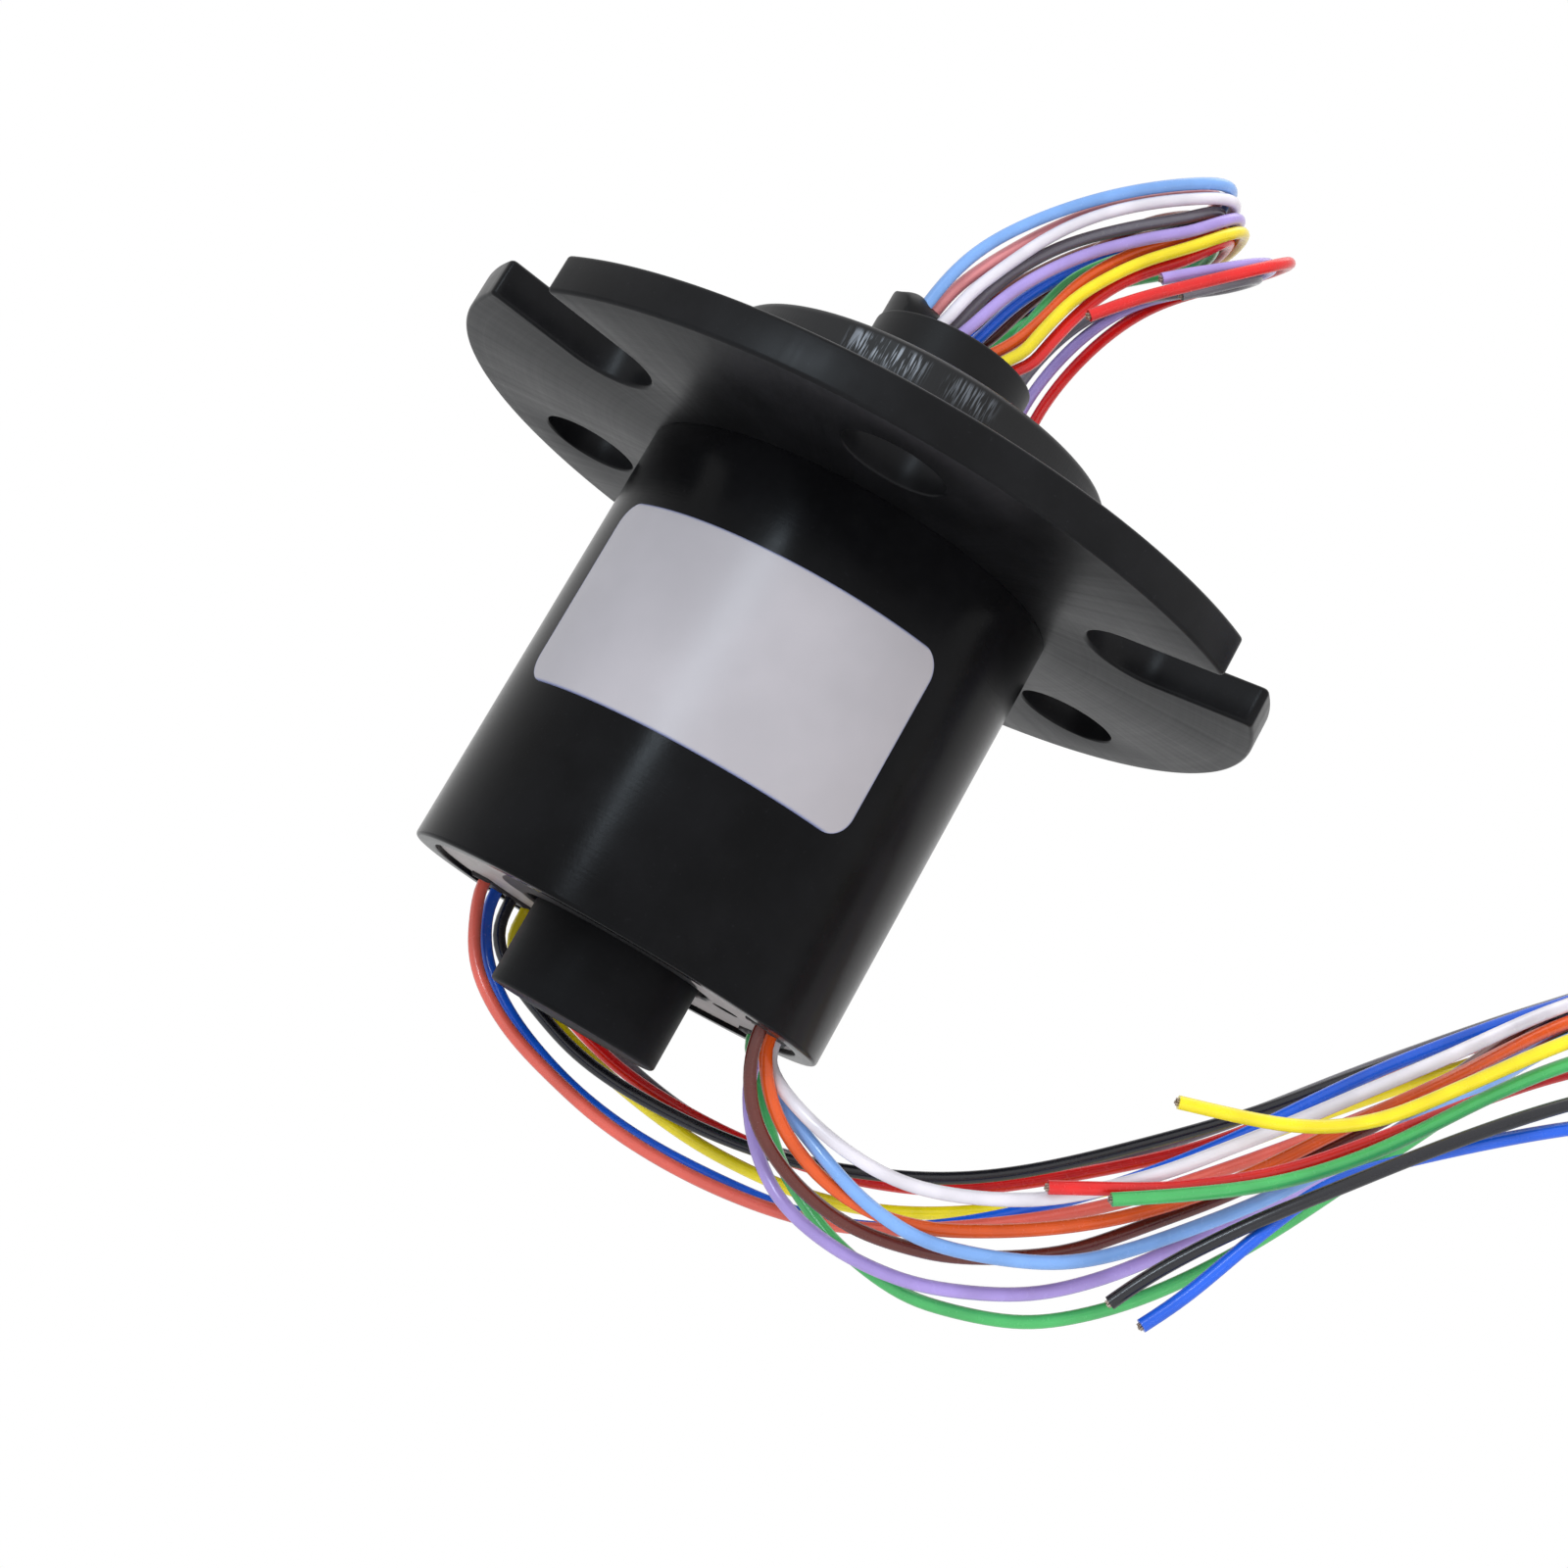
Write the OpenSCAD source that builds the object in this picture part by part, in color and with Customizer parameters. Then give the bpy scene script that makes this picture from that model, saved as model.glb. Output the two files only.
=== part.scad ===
// Flanged capsule slip ring: twelve circuits passed between a fixed housing and a turning rotor.
// +Z runs along the axis of rotation towards the rotor end. Z = 0 is the flange's mounting face.

/* [Housing] */
// Outer diameter of the housing shell
housing_d = 22; // [20:0.5:26]
// Length of the shell below the flange
housing_len = 23; // [22:0.5:32]
// Wall thickness of the shell
housing_wall = 1.4; // [1:0.1:1.8]
// Bevel on the shell's open edge
shell_bevel = 0.25; // [0.1:0.05:0.5]

/* [Flange] */
// Outer diameter of the mounting flange
flange_d = 44; // [40:0.5:54]
// Thickness of the mounting flange
flange_t = 2; // [1.5:0.1:4]
// Bevel on the flange's two edges
flange_bevel = 0.2; // [0.05:0.05:0.5]
// Number of round mounting holes, with as many slots between them
mount_count = 3; // [2:1:4]
// Diameter of a mounting hole
hole_d = 5.2; // [3:0.1:6]
// Diameter of the circle through the hole centres
bolt_circle_d = 33.5; // [31:0.5:36]
// Width of an open slot
slot_w = 5.6; // [3:0.1:7]
// Distance from the axis to the round end's centre of a slot
slot_reach = 16.75; // [16:0.25:18]
// Diameter of the raised boss on the rotor side
boss_d = 21; // [19:0.5:23]
// Height of the boss above the flange
boss_h = 5.5; // [5:0.1:8]
// Bevel round the top of the boss
boss_bevel = 0.4; // [0.1:0.1:0.8]
// Length of the spigot that locates in the shell
spigot_len = 1.5; // [1:0.1:1.8]
// Wall thickness of the spigot
spigot_wall = 1; // [0.8:0.1:1.2]
// Thickness of the lip that holds the upper bearing in
lip_t = 0.9; // [0.6:0.1:1.2]

/* [Rotor] */
// Diameter of the stub that the rotor leads come out of
stub_d = 8.8; // [8:0.1:9.4]
// Height of the stub above the boss
stub_len = 3.8; // [3:0.1:8]
// Diameter of the bore that carries the rotor leads
bore_d = 6.8; // [5:0.1:7]
// Bevel on the stub's rim
stub_bevel = 0.2; // [0.1:0.05:0.4]
// Diameter of the dust shield under the stub
shield_d = 11.6; // [11:0.1:12]
// Diameter of the mandrel that carries the contact rings
mandrel_d = 9.8; // [9:0.1:9.9]
// Diameter of the cap on the lower shaft end
cap_d = 8.9; // [8.6:0.1:9.2]
// Reach of the cap below the shell's rim
cap_len = 4; // [3:0.1:8]
// Diameter of the shaft's spigot inside the cap
cap_spigot_d = 5; // [3:0.1:6]
// Thickness of the cap's closed end
cap_floor = 1; // [0.6:0.1:1.6]

/* [Bearings] */
// Bore of the upper bearing
upper_bore = 10; // [10:0.1:10.6]
// Height of the upper bearing's section, from its bore to its outside
upper_section = 2.5; // [2.2:0.1:2.8]
// Width of the upper bearing
upper_w = 4; // [3:0.1:4.4]
// Ball diameter of the upper bearing
upper_ball_d = 1.4; // [1.2:0.1:1.6]
// Bore of the lower bearing
lower_bore = 8; // [7:0.1:8.2]
// Height of the lower bearing's section, from its bore to its outside
lower_section = 2; // [1.8:0.1:2.3]
// Width of the lower bearing
lower_w = 3.5; // [2.5:0.1:4]
// Ball diameter of the lower bearing
lower_ball_d = 1.2; // [1:0.1:1.4]
// Number of balls in each bearing
ball_count = 12; // [8:1:14]
// Depth of a race's ball groove
race_groove = 0.25; // [0.15:0.05:0.3]
// Wall thickness of a ball cage
cage_wall = 0.35; // [0.25:0.05:0.45]
// Width of a ball cage
cage_w = 1.9; // [1.8:0.1:2.2]

/* [Contacts] */
// Number of circuits, each with one contact ring
ring_count = 12; // [4:1:12]
// Width of a contact ring
ring_w = 0.7; // [0.5:0.05:0.75]
// Width of an insulating barrier between two rings
barrier_w = 0.5; // [0.3:0.05:0.55]
// Outer diameter of a contact ring
ring_d = 13.6; // [12:0.1:14]
// Outer diameter of a barrier
barrier_d = 14.8; // [14.2:0.1:15.2]
// Depth of the brush groove in a ring
ring_groove = 0.2; // [0.1:0.05:0.3]
// Diameter of a brush wire
brush_d = 0.3; // [0.2:0.05:0.4]
// Angle from a block's middle to each of its two rows of brushes
brush_angle = 16; // [12:1:18]
// Length of brush wire past the point where it bears on its ring
brush_tail = 1.2; // [0.5:0.1:2]
// Thickness of a brush block
block_t = 1.1; // [0.8:0.1:1.2]
// Width of a brush block across its face
block_w = 7; // [6.5:0.5:8]
// Thickness of the clip that closes the ring stack
clip_t = 0.5; // [0.3:0.1:0.6]
// Outer diameter of the clip
clip_d = 12.6; // [11.5:0.1:13]
// Opening angle of the clip
clip_mouth = 70; // [50:5:90]
// Depth of the clip's groove in the mandrel
clip_groove = 0.4; // [0.2:0.1:0.6]

/* [End plate] */
// Thickness of the end plate
plate_t = 1.5; // [1.3:0.1:2]
// Depth of the end plate's face inside the shell's rim
plate_recess = 0.25; // [0.1:0.05:0.4]
// Thickness of plate left under the lower bearing
plate_web = 0.9; // [0.7:0.1:1.1]
// Wall thickness of the lower bearing's hub
hub_wall = 0.9; // [0.7:0.1:1.1]
// Width of a lead slot
exit_w = 1.1; // [0.9:0.05:1.2]
// Distance from the axis to the middle of a lead slot
exit_r = 8.8; // [8.6:0.05:8.9]
// Angle at which the left lead slot begins
left_start = 104; // [90:1:110]
// Angle at which the left lead slot ends
left_end = 150; // [148:1:180]
// Angle at which the right lead slot begins
right_start = -36; // [-60:1:-35]
// Angle at which the right lead slot ends
right_end = 30; // [29:1:60]
// Height of the sealing compound above the plate's face
seal_rise = 0.15; // [0.1:0.05:0.3]
// Diameter of the blind filling hole
fill_d = 1.4; // [0.8:0.1:1.4]
// Distance from the axis to the filling hole
fill_r = 6; // [5.8:0.05:6.2]
// Depth of the filling hole
fill_depth = 0.6; // [0.3:0.1:0.7]

/* [Label] */
// Width of the label along the curve of the shell
label_w = 19; // [10:0.5:24]
// Height of the label
label_h = 9.8; // [6:0.2:14]
// Thickness of the label
label_t = 0.08; // [0.05:0.01:0.15]
// Corner radius of the label
label_corner = 1.3; // [0.5:0.1:2]
// Distance from the flange down to the label
label_drop = 4.6; // [2:0.2:6]
// Direction that the label faces
label_angle = -104; // [-180:1:180]

/* [Leads] */
// Outer diameter of a lead
lead_d = 0.65; // [0.5:0.05:0.66]
// Depth of the potting inside the rotor's bore
potting_depth = 3; // [1:0.5:6]
// Height of the potting lump above the stub's rim
lump_h = 1.9; // [0.6:0.1:2.4]
// Reach of the lump from the stub's edge towards its middle
lump_reach = 2.6; // [2:0.1:3]
// Direction of the lump round the stub
lump_angle = 190; // [180:1:220]

/* [Fits] */
// Radial gap between pieces that are pressed or bonded together
bond_gap = 0.02; // [0.01:0.01:0.04]
// Radial gap between a ball and its race
ball_gap = 0.03; // [0.02:0.01:0.05]
// Gap between a brush and the ring that it bears on
brush_gap = 0.1; // [0.08:0.01:0.15]
// Gap between turning and fixed pieces
turn_gap = 0.35; // [0.3:0.05:0.4]

/* [Hidden] */

$fn = 96;
over = 0.5;

housing_r = housing_d / 2;
shell_bore_r = housing_r - housing_wall;
plate_r = shell_bore_r + 0.3;
rim_z = -housing_len;
plate_face = rim_z + plate_recess;
plate_top = plate_face + plate_t;

flange_r = flange_d / 2;
boss_r = boss_d / 2;
boss_top = flange_t + boss_h;
spigot_r = shell_bore_r - bond_gap;
hole_turn = 360 / mount_count;
slot_start = -90 + hole_turn / 2;

upper_od = upper_bore + 2 * upper_section;
lower_od = lower_bore + 2 * lower_section;
upper_top = boss_top - lip_t;
upper_bottom = upper_top - upper_w;
lower_bottom = plate_face + plate_web;
lower_top = lower_bottom + lower_w;

stub_r = stub_d / 2;
stub_top = boss_top + stub_len;
shield_r = shield_d / 2;
shield_gap = 0.15;
shoulder_r = upper_bore / 2 + 0.4;
bore_r = bore_d / 2;
mandrel_r = mandrel_d / 2;
cap_bottom = rim_z - cap_len;
bore_floor = lower_top + 1.5;

stack_top = -spigot_len;
pitch = ring_w + barrier_w;
stack_bottom = stack_top - ring_count * pitch - barrier_w;
block_r = shell_bore_r - bond_gap;
block_inner = block_r - block_t;
brush_r = ring_d / 2 - ring_groove + brush_gap + brush_d / 2;
brush_root = block_r - block_t / 2;
lead_hole_d = lead_d + 0.2;

// Leads: a route is a list of [x, z] points in a plane of its own at one y.
// A lead's seat is its place [a, b] in the bundle, across the bundle's two axes.
seat_a = [-1.125, -0.375, 0.375, 1.125];
seat_b = [-0.75, 0, 0.75];

// Rotor bundle: it turns back behind the leads and comes down to its hank
rotor_bundle = [
    [8.8, 5, 25.8], [8, 8, 26.1], [6.2, 10.5, 25.5], [4, 13, 24.2], [2, 16, 22],
    [0.2, 18, 19.3], [-1.5, 18.6, 16.2], [-2.5, 18.8, 14.4], [-3.1, 19.5, 13.3], [-3.4, 20.7, 12.75], [-3.5, 22.5, 12.65]
];
rotor_bundle_side = [
    [0.75, 0, -0.66], [0.8, 0, -0.6], [0.83, 0, -0.55], [0.87, 0, -0.5], [0.9, 0, -0.45],
    [0.92, 0, -0.4], [0.95, 0, -0.3], [0.97, 0, -0.2], [0.99, 0, -0.1], [1, 0, 0], [1, 0, 0]
];
// Stator bundle: it gathers past the end plate's leads and rises into its hank
stator_bundle = [[41.5, 2, -3.2], [44.6, 2.6, -0.2], [46.4, 3, 2.4], [46.85, 3, 4], [46.85, 3, 5.5]];
stator_bundle_side = [[0, -1, 0], [0, -1, 0], [0, -1, 0], [0, -1, 0], [0, -1, 0]];

// Rotor leads: [name, start x, y, seat a, seat b, route]
rotor_leads = [
    ["black", 0.8, 1.4, 1, 2, [[1.6, 12.8], [3, 14.7], [3.2, 16.1], [3.4, 17.7], [4, 19.6], [5.3, 22.1], [6.7, 24.3]]],
    ["brown", 0, 2.1, 0, 2, [[0.8, 13], [1.4, 14.6], [1.8, 16.3], [2.7, 18.6], [3.7, 21.3], [5.1, 23.8], [6.8, 25.2]]],
    ["red", 2.7, -0.85, 3, 1, [[3.6, 12.7], [3.8, 14], [4.1, 15.4], [4.5, 16.9], [5.2, 18.6], [6.4, 20.3], [8, 21.9]]],
    ["orange", 1.2, -0.85, 2, 1, [[2.3, 13.2], [3, 15.4], [3.4, 17.2], [4, 18.7], [4.9, 20.2], [5.9, 21.5], [7.2, 22.9]]],
    ["yellow", 2.1, -1.6, 3, 0, [[2.9, 12.7], [3.1, 14], [3.4, 15.3], [3.8, 16.8], [4.8, 18.7], [6.1, 20.6], [7.8, 22.3]]],
    ["green", 1.5, -0.05, 3, 2, [[2.2, 12.9], [2.5, 15.2], [2.9, 17.2], [3.5, 18.7], [4.9, 20.5], [6.5, 22.1], [7.6, 23.1]]],
    ["blue", 0.2, 0.65, 2, 2, [[0.7, 13.4], [1.2, 15.3], [1.9, 16.9], [2.8, 18.4], [4.3, 20.4], [5.9, 22.2], [7, 23.3]]],
    ["violet", -0.4, -1.6, 2, 0, [[0, 12.7], [0.5, 14.5], [1.5, 16.7], [3, 18.9], [4.5, 20.5], [6.2, 22.1], [7.4, 23]]],
    ["grey", -0.9, -0.85, 1, 1, [[-0.6, 12.8], [-0.2, 15.1], [0.7, 17.2], [2, 19.3], [3.6, 21], [5.3, 22.6], [6.7, 23.7]]],
    ["white", -1.5, -1.6, 1, 0, [[-1.2, 12.6], [-0.9, 14.4], [0, 16.5], [1.1, 19], [2.7, 21.3], [4.7, 23.2], [6.4, 24.5]]],
    ["pink", -2.1, -0.85, 0, 1, [[-2, 12.7], [-1.7, 14.5], [-0.6, 16.9], [0.9, 19.5], [2.4, 21.6], [4.7, 23.7], [6.5, 25.1]]],
    ["light_blue", -2.6, -1.6, 0, 0, [[-2.5, 12.6], [-2.3, 14.2], [-1.7, 16.4], [-0.4, 18.7], [1.6, 21.3], [3.8, 23.5], [6.2, 25.4]]]
];
// Stator leads: [name, exit angle, y, seat a, seat b, route]
stator_leads = [
    ["black", 131, 5.4, 1, 1, [
        [-5.5, -25], [-3.7, -26.3], [-1.6, -27.1], [0.7, -27.9], [3.6, -28.2], [6.8, -28.1], [9.6, -27.8], [12.5, -27.2],
        [15.5, -26.1], [18.5, -24.8], [21.4, -23.1], [24.3, -20.8], [27.3, -18], [30.3, -15.1], [33, -12.3], [36.3, -8.2]
    ]],
    ["brown", -30, -2.6, 2, 0, [
        [8.1, -24.9], [9.4, -26.7], [11.6, -27.9], [13.9, -28.5], [16.3, -28.6], [18.8, -28], [20.7, -27.4],
        [24.6, -25.1], [26.5, -23.1], [28.4, -20.9], [30.3, -18.8], [33.5, -14.5], [37, -9.6]
    ]],
    ["red", 116, 7, 0, 1, [
        [-3.7, -24.5], [-2.7, -25.5], [-1, -26.3], [2.3, -27.3], [4.9, -27.6], [7.8, -27.6], [10.5, -27.4], [14, -26.9],
        [17.5, -25.8], [21, -24.2], [25.5, -20.7], [29.5, -17.3], [31.6, -15.1], [34.1, -12.1], [37.2, -8.4]
    ]],
    ["orange", -20, -3.4, 3, 1, [
        [8.7, -24.2], [9.6, -25.4], [10.9, -26.4], [12.9, -27.3], [15, -27.6], [16.9, -27.5], [18.8, -26.9], [20.1, -26.3],
        [23.2, -24.5], [26, -22.4], [28.1, -20.4], [30.5, -17.7], [32.2, -15.3], [34.5, -12], [37.2, -8.6]
    ]],
    ["yellow", 123.5, 6.2, 0, 2, [
        [-4.8, -24.6], [-4, -25.4], [-2.5, -26.4], [-0.2, -27.3], [2.2, -27.9], [5, -28.4], [8.1, -28.7], [10.9, -28.6],
        [14.5, -28.2], [18, -27], [21.4, -25.1], [24.4, -22.9], [27.4, -20.4], [30.5, -17], [33.5, -13.5], [37, -9.6]
    ]],
    ["green", 25, -1, 2, 2, [
        [9.6, -25], [11.4, -27.4], [13.9, -28.8], [15.6, -29.5], [17.7, -29.9], [19.6, -30], [21.3, -29.7], [24.8, -28.6],
        [27, -27], [29, -25.1], [30.8, -22.9], [32.6, -20.3], [34.2, -17.6], [36, -14.2], [38.2, -10.4]
    ]],
    ["blue", 138.5, 3.4, 1, 0, [
        [-6.3, -24.6], [-5.2, -26.3], [-3.2, -27.8], [-0.5, -28.9], [2.2, -29.6], [4.9, -29.9], [7.6, -29.9], [12.3, -29.5],
        [15.7, -28.8], [18.7, -27.4], [21.5, -25.4], [24, -23.2], [26.9, -20.4], [30.3, -16.4], [33, -12.7], [35.9, -8.6]
    ]],
    ["violet", 15, -1.8, 2, 1, [
        [8.6, -25], [9.8, -27], [11, -28.2], [12.3, -29.1], [14, -29.6], [16.2, -29.8], [18.3, -29.6], [20.3, -29.2],
        [24.1, -27.5], [26.2, -25.8], [28.1, -23.8], [29.9, -21.4], [31.7, -19.2], [34.5, -14.9], [37.6, -10]
    ]],
    ["grey", 108.5, 7.8, 0, 0, [
        [-2.7, -24.4], [-1.8, -25.3], [-0.2, -26.1], [3.5, -27.1], [6.7, -27.6], [9.3, -27.6], [13, -26.9],
        [17, -25.7], [21, -23.8], [24.1, -21.6], [27.6, -18.4], [30.5, -15.4], [33.2, -12.3], [36.2, -8.6]
    ]],
    ["white", -9, -5, 3, 0, [
        [9.1, -24.3], [10.4, -25], [12.3, -25.6], [14.5, -25.9], [16.6, -25.8], [18.7, -25.2], [21.5, -23.9],
        [23.7, -22.4], [26.9, -19.4], [28.7, -17.2], [30.6, -15], [33.5, -11.3], [36.2, -8]
    ]],
    ["pink", 146, 2.4, 1, 2, [
        [-6.7, -24.8], [-5.9, -26.3], [-4.5, -27.6], [-2.2, -28.8], [0.5, -29.5], [3.2, -30.1], [6.1, -30.3], [9.1, -30.2],
        [12.1, -29.8], [15, -29.1], [18, -27.8], [21, -25.9], [24.1, -23.7], [27, -21.3], [29.7, -18.5], [32.4, -15.5], [35.1, -12.4], [38, -8.8]
    ]],
    ["light_blue", 2, -4.2, 3, 2, [
        [9.2, -24.5], [10.2, -25.3], [11.8, -26], [13.5, -26.7], [15.3, -27.3], [17.5, -27.6], [19.6, -27.4], [22.9, -26.2],
        [25.2, -25], [27.2, -23.2], [29, -21.2], [30.9, -19], [32.3, -17.2], [35, -13.2], [37.7, -9.6]
    ]]
];

// Returned lead ends: [name, route from the hank to the bare tip as [x, y, z] points]
rotor_ends = [
    ["red", [
        [9.6, 22, 7.25], [9.6, 19.5, 7.3], [8.6, 16.6, 8.4], [6.5, 15.3, 11.2], [5.5, 14.2, 14.5], [5.9, 12.8, 18.8],
        [7.7, 9, 22.9], [11.4, 4, 24.4], [12.9, -1.2, 24.7], [11.8, -3, 23.1], [9.6, -3.1, 20.9], [8, -3.1, 19.3],
        [6.4, -3.1, 17.7], [4.8, -3.1, 15.7]
    ]],
    ["violet", [
        [8.9, 22, 6.5], [8.9, 19.5, 6.6], [7.7, 16.4, 8.2], [5.6, 15.2, 11.2], [4.6, 14.2, 14.5], [5, 12.8, 18.8],
        [6.8, 9, 22.6], [10.8, 4, 23.7], [12.2, -0.6, 24], [11.3, -2.4, 23.2], [9.8, -2.4, 21.9], [8.3, -2.4, 20.7], [7.1, -2.4, 19.6]
    ]],
    ["grey", [
        [8.1, 22, 7.25], [8.1, 19.5, 7.3], [6.8, 16.6, 8.4], [4.7, 15.3, 11.2], [3.7, 14.2, 14.5], [4.1, 12.8, 18.8],
        [6, 9, 22.2], [10.2, 4, 23], [11.6, 0.2, 23.3], [11.4, -1.1, 22.8], [10.4, -1.6, 21.7], [8.4, -1.6, 19.7]
    ]]
];
stator_ends = [
    ["black", [
        [52.25, -5.6, 5], [52.2, -5.6, 2.4], [50.6, -5.9, -1], [46.4, -7.2, -3.4], [41.5, -8.1, -7], [36.7, -8.2, -12.2],
        [33.2, -8.2, -16.5], [31.1, -8, -19], [29.3, -7.5, -21.5], [27.8, -7, -23.9], [26.9, -6.6, -25.8]
    ]],
    ["red", [
        [52.25, -4.9, 5], [52.2, -4.8, 2.6], [50.4, -4.5, -0.2], [46, -5, -2.4], [41, -5.6, -5.8], [36.6, -5.8, -10.9],
        [34.4, -5.8, -13.5], [31.8, -5.8, -16.4], [29.8, -5.8, -18.1], [27.1, -5.8, -20.1], [24.7, -5.8, -21.4], [22.3, -5.8, -22.7]
    ]],
    ["yellow", [
        [51.5, -4.9, 5], [51.3, -4.9, 3.6], [49.8, -5, 1.6], [46, -6.2, 0], [41, -7.4, -3.6], [37.5, -7.4, -8.2],
        [35.9, -7.4, -10.2], [34.2, -7.4, -12.4], [32.1, -7.4, -14.1], [29.9, -7.4, -15.2], [27.4, -7.4, -16], [25.4, -7.4, -16.6]
    ]],
    ["green", [
        [51.5, -6.4, 5], [51.3, -6.4, 3], [49.6, -6.1, 0.6], [45.8, -6.4, -1.4], [41, -6.6, -5.2], [37.8, -6.6, -9.3],
        [36.1, -6.6, -11.8], [34.4, -6.6, -14.1], [32.5, -6.6, -16.2], [30.5, -6.6, -18], [27.7, -6.6, -20], [24.9, -6.6, -21.8]
    ]],
    ["blue", [
        [53, -5.6, 5], [52.9, -5.6, 2.2], [51.2, -5.6, -2], [47, -6.6, -5], [41.5, -7.3, -8.6], [36.5, -7.4, -12.9],
        [34, -7.4, -15.2], [32.6, -7.4, -17], [31.7, -7.4, -18.9], [30.8, -7.4, -20.9], [29.6, -7.4, -23.9], [28.4, -7.4, -26]
    ]]
];

// Hanks: racetrack turns of the whole bundle, each turn one row further along
run_len = 13;
fold_r = 2.7;
row_pitch = 3;
hank_edge = fold_r + 1.1;
hank_half_row = row_pitch / 2;
rotor_turns = 4;
stator_turns = 3;
lead_sides = 8;
lead_sink = 0.3;
lead_start = 0.5;
start_points = 5;
turn_back = 0.9;
tie_w = 1.6;
tie_t = 0.5;

function ring_z(i) = stack_top - barrier_w - ring_w / 2 - i * pitch;

// A disc ring given by its radii and its two heights
module tube_ring(inner, outer, low, high) {
    rotate_extrude()
        translate([inner, low])
            square([outer - inner, high - low]);
}

// Shell with a seat for the end plate inside its rim
module housing_shell() {
    color([0.09, 0.09, 0.1])
        rotate_extrude()
            polygon([
                [shell_bore_r, 0],
                [housing_r, 0],
                [housing_r, rim_z + shell_bevel],
                [housing_r - shell_bevel, rim_z],
                [plate_r, rim_z],
                [plate_r, plate_top],
                [shell_bore_r, plate_top]
            ]);
}

// Flange, boss and spigot as one revolved profile, bored for the upper bearing
module flange_body() {
    lip_r = shield_r + turn_gap;
    seat_r = upper_od / 2 + bond_gap;
    rotate_extrude()
        polygon([
            [spigot_r - spigot_wall, -spigot_len],
            [spigot_r, -spigot_len],
            [spigot_r, 0],
            [flange_r - flange_bevel, 0],
            [flange_r, flange_bevel],
            [flange_r, flange_t - flange_bevel],
            [flange_r - flange_bevel, flange_t],
            [boss_r, flange_t],
            [boss_r, boss_top - boss_bevel],
            [boss_r - boss_bevel, boss_top],
            [lip_r, boss_top],
            [lip_r, upper_top],
            [seat_r, upper_top],
            [seat_r, 0],
            [spigot_r - spigot_wall, 0]
        ]);
}

// Slot from its round end out through the flange's rim
module rim_slot() {
    translate([slot_reach, 0, -over]) {
        cylinder(d = slot_w, h = flange_t + 2 * over);
        translate([0, -slot_w / 2, 0])
            cube([flange_r, slot_w, flange_t + 2 * over]);
    }
}

module mounting_flange() {
    color([0.1, 0.1, 0.11])
        difference() {
            flange_body();
            for (i = [0 : mount_count - 1])
                rotate(-90 + i * hole_turn)
                    translate([bolt_circle_d / 2, 0, -over])
                        cylinder(d = hole_d, h = flange_t + 2 * over);
            for (i = [0 : mount_count - 1])
                rotate(slot_start + i * hole_turn)
                    rim_slot();
        }
}

// Arc slot cut through the end plate, or filled by a seal
module lead_slot(start, end, width, low, high) {
    rotate(start)
        rotate_extrude(angle = end - start)
            translate([exit_r - width / 2, low])
                square([width, high - low]);
}

// Plate that closes the shell and carries the lower bearing in its hub
module end_plate() {
    hub_r = lower_od / 2 + hub_wall;
    web_r = lower_bore / 2 + 1;
    color([0.78, 0.76, 0.77])
        difference() {
            union() {
                tube_ring(web_r, plate_r - bond_gap, plate_face, plate_top);
                tube_ring(web_r, hub_r, plate_face, lower_top);
            }
            translate([0, 0, lower_bottom])
                cylinder(d = lower_od + 2 * bond_gap, h = lower_w + over);
            lead_slot(left_start, left_end, exit_w, plate_face - over, plate_top + over);
            lead_slot(right_start, right_end, exit_w, plate_face - over, plate_top + over);
            translate([fill_r, 0, plate_face - over])
                cylinder(d = fill_d, h = fill_depth + over);
        }
}

// Sealing compound round the leads in one slot
module lead_seal(start, end) {
    clear = bond_gap / exit_r * 180 / PI;
    color([0.2, 0.19, 0.2])
        lead_slot(start + clear, end - clear, exit_w - 2 * bond_gap, plate_face - seal_rise, plate_top);
}

// Inner race with a ball groove round its outside
module inner_race(bore, od, width, ball_d, base) {
    pitch_r = (bore + od) / 4;
    color([0.75, 0.76, 0.78])
        rotate_extrude()
            difference() {
                translate([bore / 2, base])
                    square([pitch_r - ball_d / 2 + race_groove - bore / 2, width]);
                translate([pitch_r, base + width / 2])
                    circle(r = ball_d / 2 + ball_gap);
            }
}

// Outer race with a ball groove round its inside
module outer_race(bore, od, width, ball_d, base) {
    pitch_r = (bore + od) / 4;
    land_r = pitch_r + ball_d / 2 - race_groove;
    color([0.75, 0.76, 0.78])
        rotate_extrude()
            difference() {
                translate([land_r, base])
                    square([od / 2 - land_r, width]);
                translate([pitch_r, base + width / 2])
                    circle(r = ball_d / 2 + ball_gap);
            }
}

// Cage ring with a round pocket for each ball, and the balls in it
module ball_set(bore, od, width, ball_d, base) {
    pitch_r = (bore + od) / 4;
    middle = base + width / 2;
    color([0.72, 0.6, 0.35])
        difference() {
            tube_ring(pitch_r - cage_wall / 2, pitch_r + cage_wall / 2, middle - cage_w / 2, middle + cage_w / 2);
            for (i = [0 : ball_count - 1])
                rotate([0, 90, i * 360 / ball_count])
                    translate([-middle, 0, pitch_r - over])
                        cylinder(r = ball_d / 2 + ball_gap, h = 2 * over);
        }
    color([0.85, 0.86, 0.88])
        for (i = [0 : ball_count - 1])
            rotate(i * 360 / ball_count)
                translate([pitch_r, 0, middle])
                    sphere(d = ball_d);
}

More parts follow.
